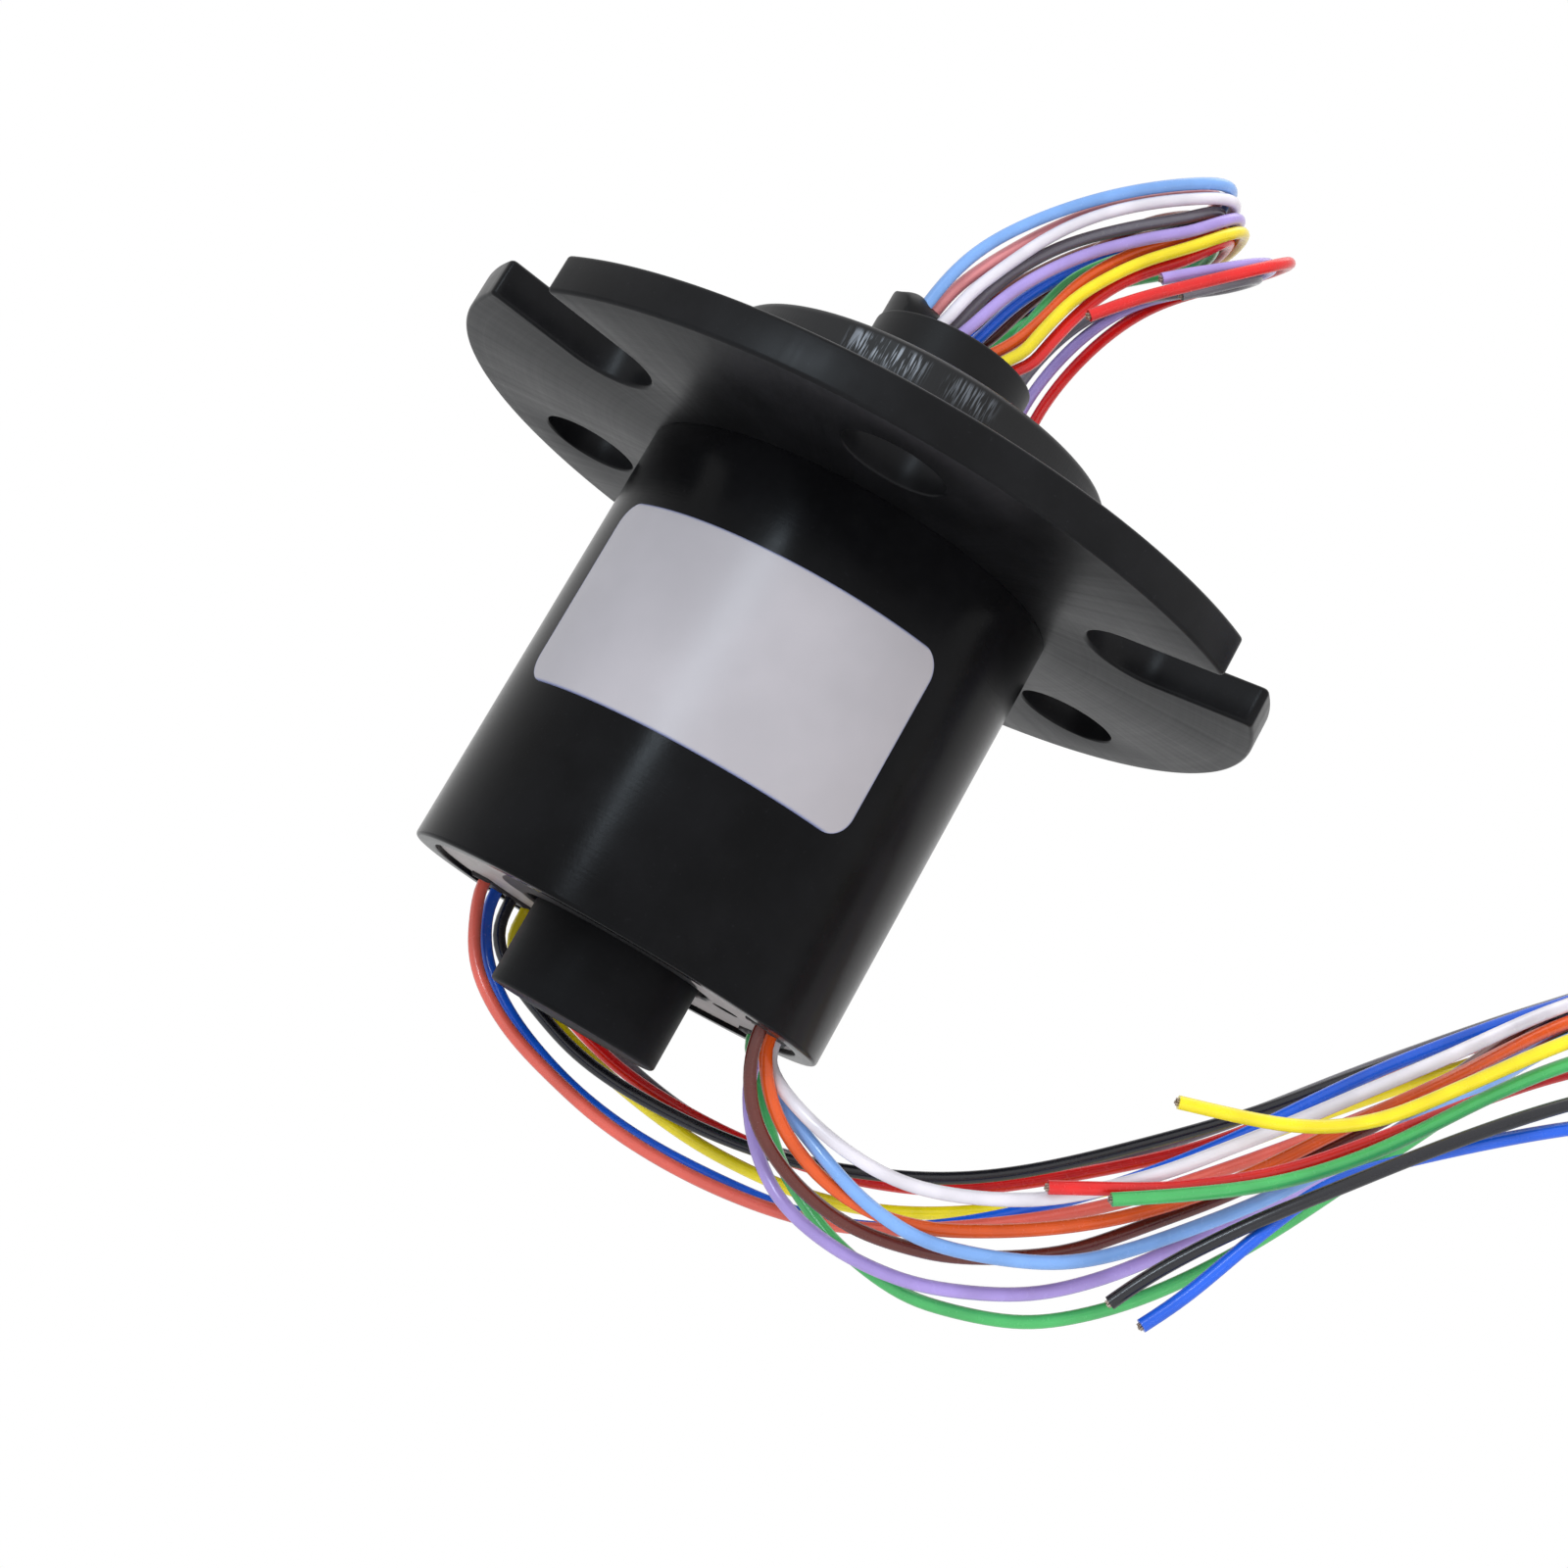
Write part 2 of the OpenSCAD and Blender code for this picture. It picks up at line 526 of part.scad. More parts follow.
// Hollow shaft: stub, dust shield, upper seat, mandrel, lower seat and cap spigot
module shaft_body() {
    rotate_extrude()
        polygon([
            [bore_r, stub_top],
            [stub_r - stub_bevel, stub_top],
            [stub_r, stub_top - stub_bevel],
            [stub_r, boss_top],
            [shield_r, boss_top],
            [shield_r, upper_top + shield_gap],
            [shoulder_r, upper_top + shield_gap],
            [shoulder_r, upper_top],
            [upper_bore / 2 - bond_gap, upper_top],
            [upper_bore / 2 - bond_gap, upper_bottom],
            [mandrel_r, upper_bottom],
            [mandrel_r, stack_bottom],
            [mandrel_r - clip_groove, stack_bottom],
            [mandrel_r - clip_groove, stack_bottom - clip_t],
            [mandrel_r, stack_bottom - clip_t],
            [mandrel_r, lower_top],
            [lower_bore / 2 - bond_gap, lower_top],
            [lower_bore / 2 - bond_gap, lower_bottom],
            [cap_spigot_d / 2 - bond_gap, lower_bottom],
            [cap_spigot_d / 2 - bond_gap, cap_bottom + cap_floor + bond_gap],
            [0, cap_bottom + cap_floor + bond_gap],
            [0, bore_floor],
            [bore_r, bore_floor]
        ]);
}

// One cross hole under each ring lets its lead through to the bore
module rotor_shaft() {
    color([0.11, 0.11, 0.12])
        difference() {
            shaft_body();
            for (i = [0 : ring_count - 1])
                rotate([0, 90, i * 360 / ring_count])
                    translate([-ring_z(i), 0, bore_r - over])
                        cylinder(d = lead_hole_d, h = mandrel_r);
        }
}

module shaft_cap() {
    color([0.11, 0.11, 0.12])
        rotate_extrude()
            polygon([
                [0, cap_bottom],
                [cap_d / 2 - stub_bevel, cap_bottom],
                [cap_d / 2, cap_bottom + stub_bevel],
                [cap_d / 2, lower_bottom],
                [cap_spigot_d / 2, lower_bottom],
                [cap_spigot_d / 2, cap_bottom + cap_floor],
                [0, cap_bottom + cap_floor]
            ]);
}

// Rings with a brush groove each, spaced down the mandrel
module contact_rings() {
    groove_r = brush_d / 2 + brush_gap;
    color([0.83, 0.68, 0.3])
        for (i = [0 : ring_count - 1])
            translate([0, 0, ring_z(i)])
                rotate_extrude()
                    difference() {
                        translate([mandrel_r + bond_gap, -ring_w / 2])
                            square([ring_d / 2 - mandrel_r - bond_gap, ring_w]);
                        translate([ring_d / 2 - ring_groove + groove_r, 0])
                            circle(r = groove_r, $fn = 24);
                    }
}

module ring_barriers() {
    color([0.85, 0.83, 0.75])
        for (i = [0 : ring_count])
            tube_ring(
                mandrel_r + bond_gap, barrier_d / 2,
                stack_top - i * pitch - barrier_w, stack_top - i * pitch
            );
}

// Open clip in the mandrel's groove, under the last barrier
module stack_clip() {
    color([0.5, 0.5, 0.52])
        rotate(clip_mouth / 2)
            rotate_extrude(angle = 360 - clip_mouth)
                translate([mandrel_r - clip_groove + bond_gap, stack_bottom - clip_t + bond_gap])
                    square([clip_d / 2 - mandrel_r + clip_groove - bond_gap, clip_t - 2 * bond_gap]);
}

// Two rows of straight brush wires, each tangent to its ring
module brush_rows(d) {
    lean = acos(brush_r / brush_root);
    reach = sqrt(brush_root * brush_root - brush_r * brush_r) + brush_tail;
    for (i = [0 : ring_count - 1])
        for (side = [-1, 1])
            rotate(side * brush_angle)
                translate([brush_root, 0, ring_z(i)])
                    rotate([0, -90, -side * (90 - lean)])
                        cylinder(d = d, h = reach, $fn = 24);
}

module brush_block(turn) {
    color([0.16, 0.28, 0.2])
        rotate(turn)
            difference() {
                intersection() {
                    tube_ring(block_inner, block_r, stack_bottom, stack_top - bond_gap);
                    translate([0, -block_w / 2, stack_bottom])
                        cube([housing_r, block_w, stack_top - stack_bottom]);
                }
                brush_rows(brush_d + 2 * bond_gap);
            }
}

module brush_wires(turn) {
    color([0.86, 0.7, 0.32])
        rotate(turn)
            brush_rows(brush_d);
}

// Corner of the label, cut away outside its round
module label_corner_cut() {
    translate([housing_r - over, 0, 0])
        rotate([0, 90, 0])
            difference() {
                cube([label_corner + over, label_corner + over, 2 * over]);
                translate([0, 0, -over])
                    cylinder(r = label_corner + bond_gap, h = 4 * over);
            }
}

// Thin label wrapped round the shell, with rounded corners
module label_skin() {
    arc = label_w / housing_r * 180 / PI;
    corner_arc = label_corner / housing_r * 180 / PI;
    inner = housing_r + bond_gap / 2;
    color([0.8, 0.8, 0.84])
        rotate(label_angle)
            difference() {
                rotate(-arc / 2)
                    rotate_extrude(angle = arc)
                        translate([inner, -label_drop - label_h])
                            square([label_t, label_h]);
                for (side = [-1, 1]) {
                    rotate(side * (arc / 2 - corner_arc)) {
                        translate([0, 0, -label_drop - label_h + label_corner])
                            mirror([0, side < 0 ? 1 : 0, 0])
                                label_corner_cut();
                        translate([0, 0, -label_drop - label_corner])
                            mirror([0, side < 0 ? 1 : 0, 0])
                                mirror([0, 0, 1])
                                    label_corner_cut();
                    }
                }
            }
}

// Compound that fills the mouth of the bore, with an off-centre lump left by the pour
module rotor_potting() {
    cap_radius = (lump_reach * lump_reach + lump_h * lump_h) / (2 * lump_h);
    color([0.05, 0.05, 0.05]) {
        translate([0, 0, stub_top - potting_depth])
            cylinder(r = bore_r - bond_gap, h = potting_depth);
        intersection() {
            translate([0, 0, stub_top])
                cylinder(r = stub_r - stub_bevel, h = lump_h);
            rotate(lump_angle)
                translate([stub_r, 0, stub_top + lump_h - cap_radius])
                    sphere(r = cap_radius);
        }
    }
}

// Unit vector along v
function unit(v) = v / norm(v);

// Point at u on the smooth curve that starts and ends on the first and last of the points p
function curve_point(p, u) =
    let (
        i = min(floor(u), len(p)),
        f = u - i,
        q = [for (k = [-2 : 1]) p[max(0, min(len(p) - 1, i + k))]]
    )
    (pow(1 - f, 3) * q[0] + (3 * f * f * f - 6 * f * f + 4) * q[1]
        + (3 * f * f + 3 * f + 1 - 3 * f * f * f) * q[2] + f * f * f * q[3]) / 6;

// Evenly numbered points along that curve
function curve(p, steps) = [for (i = [0 : steps]) curve_point(p, i * (len(p) + 1) / steps)];

// Direction of a line of points at each of its points
function directions(c) =
    [for (i = [0 : len(c) - 1]) unit(c[min(i + 1, len(c) - 1)] - c[max(i - 1, 0)])];

// Side vectors that follow a line of points without twisting about it
function sides(t, n, i) =
    i >= len(t) ? [] :
    let (m = unit(n - (n * t[i]) * t[i]))
    concat([m], sides(t, m, i + 1));

// Round lead swept along the points p
module lead_tube(p, steps) {
    c = curve(p, steps);
    t = directions(c);
    n = sides(t, abs(t[0][1]) < 0.9 ? [0, 1, 0] : [1, 0, 0], 0);
    last = steps * lead_sides;
    polyhedron(
        points = [
            for (i = [0 : steps]) for (k = [0 : lead_sides - 1])
                c[i] + lead_d / 2 * (cos(k * 360 / lead_sides) * n[i]
                    + sin(k * 360 / lead_sides) * cross(t[i], n[i]))
        ],
        faces = concat(
            [[for (k = [0 : lead_sides - 1]) k]],
            [[for (k = [lead_sides - 1 : -1 : 0]) last + k]],
            [
                for (i = [0 : steps - 1]) for (k = [0 : lead_sides - 1])
                    let (a = i * lead_sides, b = (k + 1) % lead_sides)
                    [a + k, a + lead_sides + k, a + lead_sides + b, a + b]
            ]
        )
    );
}

// Places of one lead's seat along its bundle
function seat_points(line, side, a, b) =
    let (t = directions(line))
    [
        for (j = [0 : len(line) - 1])
            let (m = unit(side[j] - (side[j] * t[j]) * t[j]))
            line[j] + seat_a[a] * m + seat_b[b] * cross(t[j], m)
    ];

// Rotor lead from the potting up its own plane, then back and down with the bundle
function rotor_path(w) =
    let (seat = seat_points(rotor_bundle, rotor_bundle_side, w[3], w[4]))
    concat(
        [[w[1], w[2], stub_top - lead_sink], [w[1], w[2], stub_top + lead_start]],
        [for (p = w[5]) [p[0], w[2], p[1]]],
        [[seat[0][0], w[2] + turn_back, seat[0][2]]],
        seat
    );

// Stator lead from its slot into its own plane, then on with the bundle
function stator_path(w) =
    let (
        x = exit_r * cos(w[1]),
        y = exit_r * sin(w[1]),
        face = plate_face - seal_rise
    )
    concat(
        [[x, y, face + lead_sink], [x, y, face - lead_start]],
        [
            for (i = [0 : len(w[5]) - 1])
                let (ease = pow(max(0, 1 - (i + 1) / start_points), 1.5))
                [w[5][i][0], w[2] + (y - w[2]) * ease, w[5][i][1]]
        ],
        seat_points(stator_bundle, stator_bundle_side, w[3], w[4])
    );

// Entries of a list that carry a name
function named(list, name) = [for (w = list) if (w[0] == name) w];

module rotor_lead(name, tint) {
    color(tint) {
        for (w = named(rotor_leads, name))
            lead_tube(rotor_path(w), 28);
        for (w = named(rotor_ends, name))
            lead_tube(w[1], 20);
    }
}

module stator_lead(name, tint) {
    color(tint) {
        for (w = named(stator_leads, name))
            lead_tube(stator_path(w), 30);
        for (w = named(stator_ends, name))
            lead_tube(w[1], 18);
    }
}

// Outline of a hank: straight runs between round folds
module hank_outline(grow) {
    hull()
        for (x = [0, run_len])
            translate([x, 0])
                circle(r = hank_edge + grow, $fn = 32);
}

// Closed outer form of a hank: runs along X, rows along Z
module hank_body(turns) {
    translate([0, 0, -hank_half_row])
        linear_extrude(height = (turns + 1) * row_pitch)
            hank_outline(0);
}

// Tie drawn round the middle of a hank, with its head on one side
module hank_tie(turns) {
    depth = (turns + 1) * row_pitch;
    inner = hank_edge + bond_gap;
    translate([run_len / 2 - tie_w / 2, 0, -hank_half_row - bond_gap]) {
        difference() {
            translate([0, -inner - tie_t, -tie_t])
                cube([tie_w, 2 * (inner + tie_t), depth + 2 * (bond_gap + tie_t)]);
            translate([-over, -inner, 0])
                cube([tie_w + 2 * over, 2 * inner, depth + 2 * bond_gap]);
        }
        translate([-tie_t / 2, -tie_w / 2, -3 * tie_t])
            cube([tie_w + tie_t, tie_w, 2 * tie_t]);
    }
}

// Rotor hank: runs along Y behind the rotor, rows along X
module place_rotor_hank() {
    entry = rotor_bundle[len(rotor_bundle) - 1];
    multmatrix([
        [0, 0, 1, entry[0]],
        [1, 0, 0, entry[1]],
        [0, 1, 0, entry[2] - fold_r],
        [0, 0, 0, 1]
    ])
        children();
}

// Stator hank: runs along Z past the leads, rows along -Y
module place_stator_hank() {
    entry = stator_bundle[len(stator_bundle) - 1];
    multmatrix([
        [0, 1, 0, entry[0] + fold_r],
        [0, 0, -1, entry[1]],
        [1, 0, 0, entry[2]],
        [0, 0, 0, 1]
    ])
        children();
}

module rotor_hank() {
    color([0.55, 0.45, 0.45])
        place_rotor_hank()
            hank_body(rotor_turns);
}

module rotor_tie() {
    color([0.06, 0.06, 0.06])
        place_rotor_hank()
            hank_tie(rotor_turns);
}

module stator_hank() {
    color([0.55, 0.45, 0.45])
        place_stator_hank()
            hank_body(stator_turns);
}

module stator_tie() {
    color([0.06, 0.06, 0.06])
        place_stator_hank()
            hank_tie(stator_turns);
}

housing_shell();
mounting_flange();
end_plate();
lead_seal(left_start, left_end);  // lead_seal_left
lead_seal(right_start, right_end);  // lead_seal_right
label_skin();
brush_block(180);  // brush_block_left
brush_block(0);  // brush_block_right
brush_wires(180);  // brush_wires_left
brush_wires(0);  // brush_wires_right
outer_race(upper_bore, upper_od, upper_w, upper_ball_d, upper_bottom);  // upper_outer_race
outer_race(lower_bore, lower_od, lower_w, lower_ball_d, lower_bottom);  // lower_outer_race
rotor_shaft();
shaft_cap();
contact_rings();
ring_barriers();
stack_clip();
rotor_potting();
inner_race(upper_bore, upper_od, upper_w, upper_ball_d, upper_bottom);  // upper_inner_race
inner_race(lower_bore, lower_od, lower_w, lower_ball_d, lower_bottom);  // lower_inner_race
ball_set(upper_bore, upper_od, upper_w, upper_ball_d, upper_bottom);  // upper_ball_set
ball_set(lower_bore, lower_od, lower_w, lower_ball_d, lower_bottom);  // lower_ball_set
stator_lead("black", [0.06, 0.06, 0.06]);  // stator_lead_black
stator_lead("brown", [0.45, 0.22, 0.14]);  // stator_lead_brown
stator_lead("red", [0.85, 0.1, 0.12]);  // stator_lead_red
stator_lead("orange", [0.95, 0.45, 0.15]);  // stator_lead_orange
stator_lead("yellow", [0.95, 0.85, 0.2]);  // stator_lead_yellow
stator_lead("green", [0.15, 0.6, 0.35]);  // stator_lead_green
stator_lead("blue", [0.12, 0.25, 0.75]);  // stator_lead_blue
stator_lead("violet", [0.55, 0.35, 0.75]);  // stator_lead_violet
stator_lead("grey", [0.6, 0.6, 0.62]);  // stator_lead_grey
stator_lead("white", [0.95, 0.95, 0.95]);  // stator_lead_white
stator_lead("pink", [0.95, 0.6, 0.62]);  // stator_lead_pink
stator_lead("light_blue", [0.5, 0.75, 0.92]);  // stator_lead_light_blue
stator_hank();
stator_tie();
rotor_lead("black", [0.06, 0.06, 0.06]);  // rotor_lead_black
rotor_lead("brown", [0.45, 0.22, 0.14]);  // rotor_lead_brown
rotor_lead("red", [0.85, 0.1, 0.12]);  // rotor_lead_red
rotor_lead("orange", [0.95, 0.45, 0.15]);  // rotor_lead_orange
rotor_lead("yellow", [0.95, 0.85, 0.2]);  // rotor_lead_yellow
rotor_lead("green", [0.15, 0.6, 0.35]);  // rotor_lead_green
rotor_lead("blue", [0.12, 0.25, 0.75]);  // rotor_lead_blue
rotor_lead("violet", [0.55, 0.35, 0.75]);  // rotor_lead_violet
rotor_lead("grey", [0.6, 0.6, 0.62]);  // rotor_lead_grey
rotor_lead("white", [0.95, 0.95, 0.95]);  // rotor_lead_white
rotor_lead("pink", [0.95, 0.6, 0.62]);  // rotor_lead_pink
rotor_lead("light_blue", [0.5, 0.75, 0.92]);  // rotor_lead_light_blue
rotor_hank();
rotor_tie();
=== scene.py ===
"""Dress the flanged capsule slip ring: its turned black parts, its label, its coloured leads and a plain studio."""

import math

import bmesh
import bpy
import numpy as np
from mathutils import Matrix, Vector
from mathutils.geometry import delaunay_2d_cdt


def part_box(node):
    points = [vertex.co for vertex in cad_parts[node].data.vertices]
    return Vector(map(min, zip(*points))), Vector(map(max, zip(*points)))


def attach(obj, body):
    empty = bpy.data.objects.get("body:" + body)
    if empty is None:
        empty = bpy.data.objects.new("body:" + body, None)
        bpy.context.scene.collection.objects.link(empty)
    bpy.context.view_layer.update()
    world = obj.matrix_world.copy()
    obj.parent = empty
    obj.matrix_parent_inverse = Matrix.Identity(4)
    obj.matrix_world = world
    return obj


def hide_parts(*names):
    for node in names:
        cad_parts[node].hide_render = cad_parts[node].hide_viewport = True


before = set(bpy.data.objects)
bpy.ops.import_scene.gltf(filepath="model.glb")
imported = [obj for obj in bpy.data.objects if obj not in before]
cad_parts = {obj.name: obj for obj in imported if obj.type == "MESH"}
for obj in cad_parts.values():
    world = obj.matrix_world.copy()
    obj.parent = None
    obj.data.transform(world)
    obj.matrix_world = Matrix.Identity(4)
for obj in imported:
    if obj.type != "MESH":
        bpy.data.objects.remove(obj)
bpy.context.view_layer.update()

bl_info = {
    "name": "Slip Ring Dressing",
    "version": (1, 0, 0),
    "blender": (4, 5, 0),
    "location": "View3D > Sidebar > Slip Ring",
    "description": "Makes the visible surfaces, leads and studio of a flanged slip ring",
    "category": "Object",
}

MM = 0.001

# ---------------------------------------------------------------- lead routes, in millimetres

SEAT_A = (-1.125, -0.375, 0.375, 1.125)
SEAT_B = (-0.75, 0.0, 0.75)
RUN_LEN = 13.0
FOLD_R = 2.7
ROW_PITCH = 3.0
START_POINTS = 5
TURN_BACK = 0.9
LEAD_SINK = 0.3
LEAD_START = 0.5

ROTOR_BUNDLE = [(8.8, 5, 25.8), (8, 8, 26.1), (6.2, 10.5, 25.5), (4, 13, 24.2), (2, 16, 22), (0.2, 18, 19.3), (-1.5,
    18.6, 16.2), (-2.5, 18.8, 14.4), (-3.1, 19.5, 13.3), (-3.4, 20.7, 12.75), (-3.5, 22.5, 12.65)]
ROTOR_SIDE = [(0.75, 0, -0.66), (0.8, 0, -0.6), (0.83, 0, -0.55), (0.87, 0, -0.5), (0.9, 0, -0.45), (0.92, 0, -0.4),
    (0.95, 0, -0.3), (0.97, 0, -0.2), (0.99, 0, -0.1), (1, 0, 0), (1, 0, 0)]
STATOR_BUNDLE = [(41.5, 2, -3.2), (44.6, 2.6, -0.2), (46.4, 3, 2.4), (46.85, 3, 4), (46.85, 3, 5.5)]
STATOR_SIDE = [(0, -1, 0)] * len(STATOR_BUNDLE)
# Each lead: its colour, where it starts, its plane's y, its seat across and in depth, and its route as (x, z)
ROTOR_LEADS = [
    ("black", 0.8, 1.4, 1, 2, [(1.6, 12.8), (3, 14.7), (3.2, 16.1), (3.4, 17.7), (4, 19.6), (5.3, 22.1), (6.7,
        24.3)]),
    ("brown", 0, 2.1, 0, 2, [(0.8, 13), (1.4, 14.6), (1.8, 16.3), (2.7, 18.6), (3.7, 21.3), (5.1, 23.8), (6.8,
        25.2)]),
    ("red", 2.7, -0.85, 3, 1, [(3.6, 12.7), (3.8, 14), (4.1, 15.4), (4.5, 16.9), (5.2, 18.6), (6.4, 20.3), (8,
        21.9)]),
    ("orange", 1.2, -0.85, 2, 1, [(2.3, 13.2), (3, 15.4), (3.4, 17.2), (4, 18.7), (4.9, 20.2), (5.9, 21.5), (7.2,
        22.9)]),
    ("yellow", 2.1, -1.6, 3, 0, [(2.9, 12.7), (3.1, 14), (3.4, 15.3), (3.8, 16.8), (4.8, 18.7), (6.1, 20.6), (7.8,
        22.3)]),
    ("green", 1.5, -0.05, 3, 2, [(2.2, 12.9), (2.5, 15.2), (2.9, 17.2), (3.5, 18.7), (4.9, 20.5), (6.5, 22.1), (7.6,
        23.1)]),
    ("blue", 0.2, 0.65, 2, 2, [(0.7, 13.4), (1.2, 15.3), (1.9, 16.9), (2.8, 18.4), (4.3, 20.4), (5.9, 22.2), (7,
        23.3)]),
    ("violet", -0.4, -1.6, 2, 0, [(0, 12.7), (0.5, 14.5), (1.5, 16.7), (3, 18.9), (4.5, 20.5), (6.2, 22.1), (7.4,
        23)]),
    ("grey", -0.9, -0.85, 1, 1, [(-0.6, 12.8), (-0.2, 15.1), (0.7, 17.2), (2, 19.3), (3.6, 21), (5.3, 22.6), (6.7,
        23.7)]),
    ("white", -1.5, -1.6, 1, 0, [(-1.2, 12.6), (-0.9, 14.4), (0, 16.5), (1.1, 19), (2.7, 21.3), (4.7, 23.2), (6.4,
        24.5)]),
    ("pink", -2.1, -0.85, 0, 1, [(-2, 12.7), (-1.7, 14.5), (-0.6, 16.9), (0.9, 19.5), (2.4, 21.6), (4.7, 23.7), (6.5,
        25.1)]),
    ("light_blue", -2.6, -1.6, 0, 0, [(-2.5, 12.6), (-2.3, 14.2), (-1.7, 16.4), (-0.4, 18.7), (1.6, 21.3), (3.8,
        23.5), (6.2, 25.4)]),
]
STATOR_LEADS = [
    ("black", 131, 5.4, 1, 1, [(-5.5, -25), (-3.7, -26.3), (-1.6, -27.1), (0.7, -27.9), (3.6, -28.2), (6.8, -28.1),
        (9.6, -27.8), (12.5, -27.2), (15.5, -26.1), (18.5, -24.8), (21.4, -23.1), (24.3, -20.8), (27.3, -18), (30.3,
        -15.1), (33, -12.3), (36.3, -8.2)]),
    ("brown", -30, -2.6, 2, 0, [(8.1, -24.9), (9.4, -26.7), (11.6, -27.9), (13.9, -28.5), (16.3, -28.6), (18.8, -28),
        (20.7, -27.4), (24.6, -25.1), (26.5, -23.1), (28.4, -20.9), (30.3, -18.8), (33.5, -14.5), (37, -9.6)]),
    ("red", 116, 7, 0, 1, [(-3.7, -24.5), (-2.7, -25.5), (-1, -26.3), (2.3, -27.3), (4.9, -27.6), (7.8, -27.6), (10.5,
        -27.4), (14, -26.9), (17.5, -25.8), (21, -24.2), (25.5, -20.7), (29.5, -17.3), (31.6, -15.1), (34.1, -12.1),
        (37.2, -8.4)]),
    ("orange", -20, -3.4, 3, 1, [(8.7, -24.2), (9.6, -25.4), (10.9, -26.4), (12.9, -27.3), (15, -27.6), (16.9, -27.5),
        (18.8, -26.9), (20.1, -26.3), (23.2, -24.5), (26, -22.4), (28.1, -20.4), (30.5, -17.7), (32.2, -15.3), (34.5,
        -12), (37.2, -8.6)]),
    ("yellow", 123.5, 6.2, 0, 2, [(-4.8, -24.6), (-4, -25.4), (-2.5, -26.4), (-0.2, -27.3), (2.2, -27.9), (5, -28.4),
        (8.1, -28.7), (10.9, -28.6), (14.5, -28.2), (18, -27), (21.4, -25.1), (24.4, -22.9), (27.4, -20.4), (30.5,
        -17), (33.5, -13.5), (37, -9.6)]),
    ("green", 25, -1, 2, 2, [(9.6, -25), (11.4, -27.4), (13.9, -28.8), (15.6, -29.5), (17.7, -29.9), (19.6, -30),
        (21.3, -29.7), (24.8, -28.6), (27, -27), (29, -25.1), (30.8, -22.9), (32.6, -20.3), (34.2, -17.6), (36,
        -14.2), (38.2, -10.4)]),
    ("blue", 138.5, 3.4, 1, 0, [(-6.3, -24.6), (-5.2, -26.3), (-3.2, -27.8), (-0.5, -28.9), (2.2, -29.6), (4.9,
        -29.9), (7.6, -29.9), (12.3, -29.5), (15.7, -28.8), (18.7, -27.4), (21.5, -25.4), (24, -23.2), (26.9, -20.4),
        (30.3, -16.4), (33, -12.7), (35.9, -8.6)]),
    ("violet", 15, -1.8, 2, 1, [(8.6, -25), (9.8, -27), (11, -28.2), (12.3, -29.1), (14, -29.6), (16.2, -29.8), (18.3,
        -29.6), (20.3, -29.2), (24.1, -27.5), (26.2, -25.8), (28.1, -23.8), (29.9, -21.4), (31.7, -19.2), (34.5,
        -14.9), (37.6, -10)]),
    ("grey", 108.5, 7.8, 0, 0, [(-2.7, -24.4), (-1.8, -25.3), (-0.2, -26.1), (3.5, -27.1), (6.7, -27.6), (9.3, -27.6),
        (13, -26.9), (17, -25.7), (21, -23.8), (24.1, -21.6), (27.6, -18.4), (30.5, -15.4), (33.2, -12.3), (36.2,
        -8.6)]),
    ("white", -9, -5, 3, 0, [(9.1, -24.3), (10.4, -25), (12.3, -25.6), (14.5, -25.9), (16.6, -25.8), (18.7, -25.2),
        (21.5, -23.9), (23.7, -22.4), (26.9, -19.4), (28.7, -17.2), (30.6, -15), (33.5, -11.3), (36.2, -8)]),
    ("pink", 146, 2.4, 1, 2, [(-6.7, -24.8), (-5.9, -26.3), (-4.5, -27.6), (-2.2, -28.8), (0.5, -29.5), (3.2, -30.1),
        (6.1, -30.3), (9.1, -30.2), (12.1, -29.8), (15, -29.1), (18, -27.8), (21, -25.9), (24.1, -23.7), (27, -21.3),
        (29.7, -18.5), (32.4, -15.5), (35.1, -12.4), (38, -8.8)]),
    ("light_blue", 2, -4.2, 3, 2, [(9.2, -24.5), (10.2, -25.3), (11.8, -26), (13.5, -26.7), (15.3, -27.3), (17.5,
        -27.6), (19.6, -27.4), (22.9, -26.2), (25.2, -25), (27.2, -23.2), (29, -21.2), (30.9, -19), (32.3, -17.2),
        (35, -13.2), (37.7, -9.6)]),
]
# Returned ends: from the hank back to the bare tip, as (x, y, z)
ROTOR_ENDS = {
    "red": [(9.6, 22, 7.25), (9.6, 19.5, 7.3), (8.6, 16.6, 8.4), (6.5, 15.3, 11.2), (5.5, 14.2, 14.5), (5.9, 12.8,
        18.8), (7.7, 9, 22.9), (11.4, 4, 24.4), (12.9, -1.2, 24.7), (11.8, -3, 23.1), (9.6, -3.1, 20.9), (8, -3.1,
        19.3), (6.4, -3.1, 17.7), (4.8, -3.1, 15.7)],
    "violet": [(8.9, 22, 6.5), (8.9, 19.5, 6.6), (7.7, 16.4, 8.2), (5.6, 15.2, 11.2), (4.6, 14.2, 14.5), (5, 12.8,
        18.8), (6.8, 9, 22.6), (10.8, 4, 23.7), (12.2, -0.6, 24), (11.3, -2.4, 23.2), (9.8, -2.4, 21.9), (8.3, -2.4,
        20.7), (7.1, -2.4, 19.6)],
    "grey": [(8.1, 22, 7.25), (8.1, 19.5, 7.3), (6.8, 16.6, 8.4), (4.7, 15.3, 11.2), (3.7, 14.2, 14.5), (4.1, 12.8,
        18.8), (6, 9, 22.2), (10.2, 4, 23), (11.6, 0.2, 23.3), (11.4, -1.1, 22.8), (10.4, -1.6, 21.7), (8.4, -1.6,
        19.7)],
}
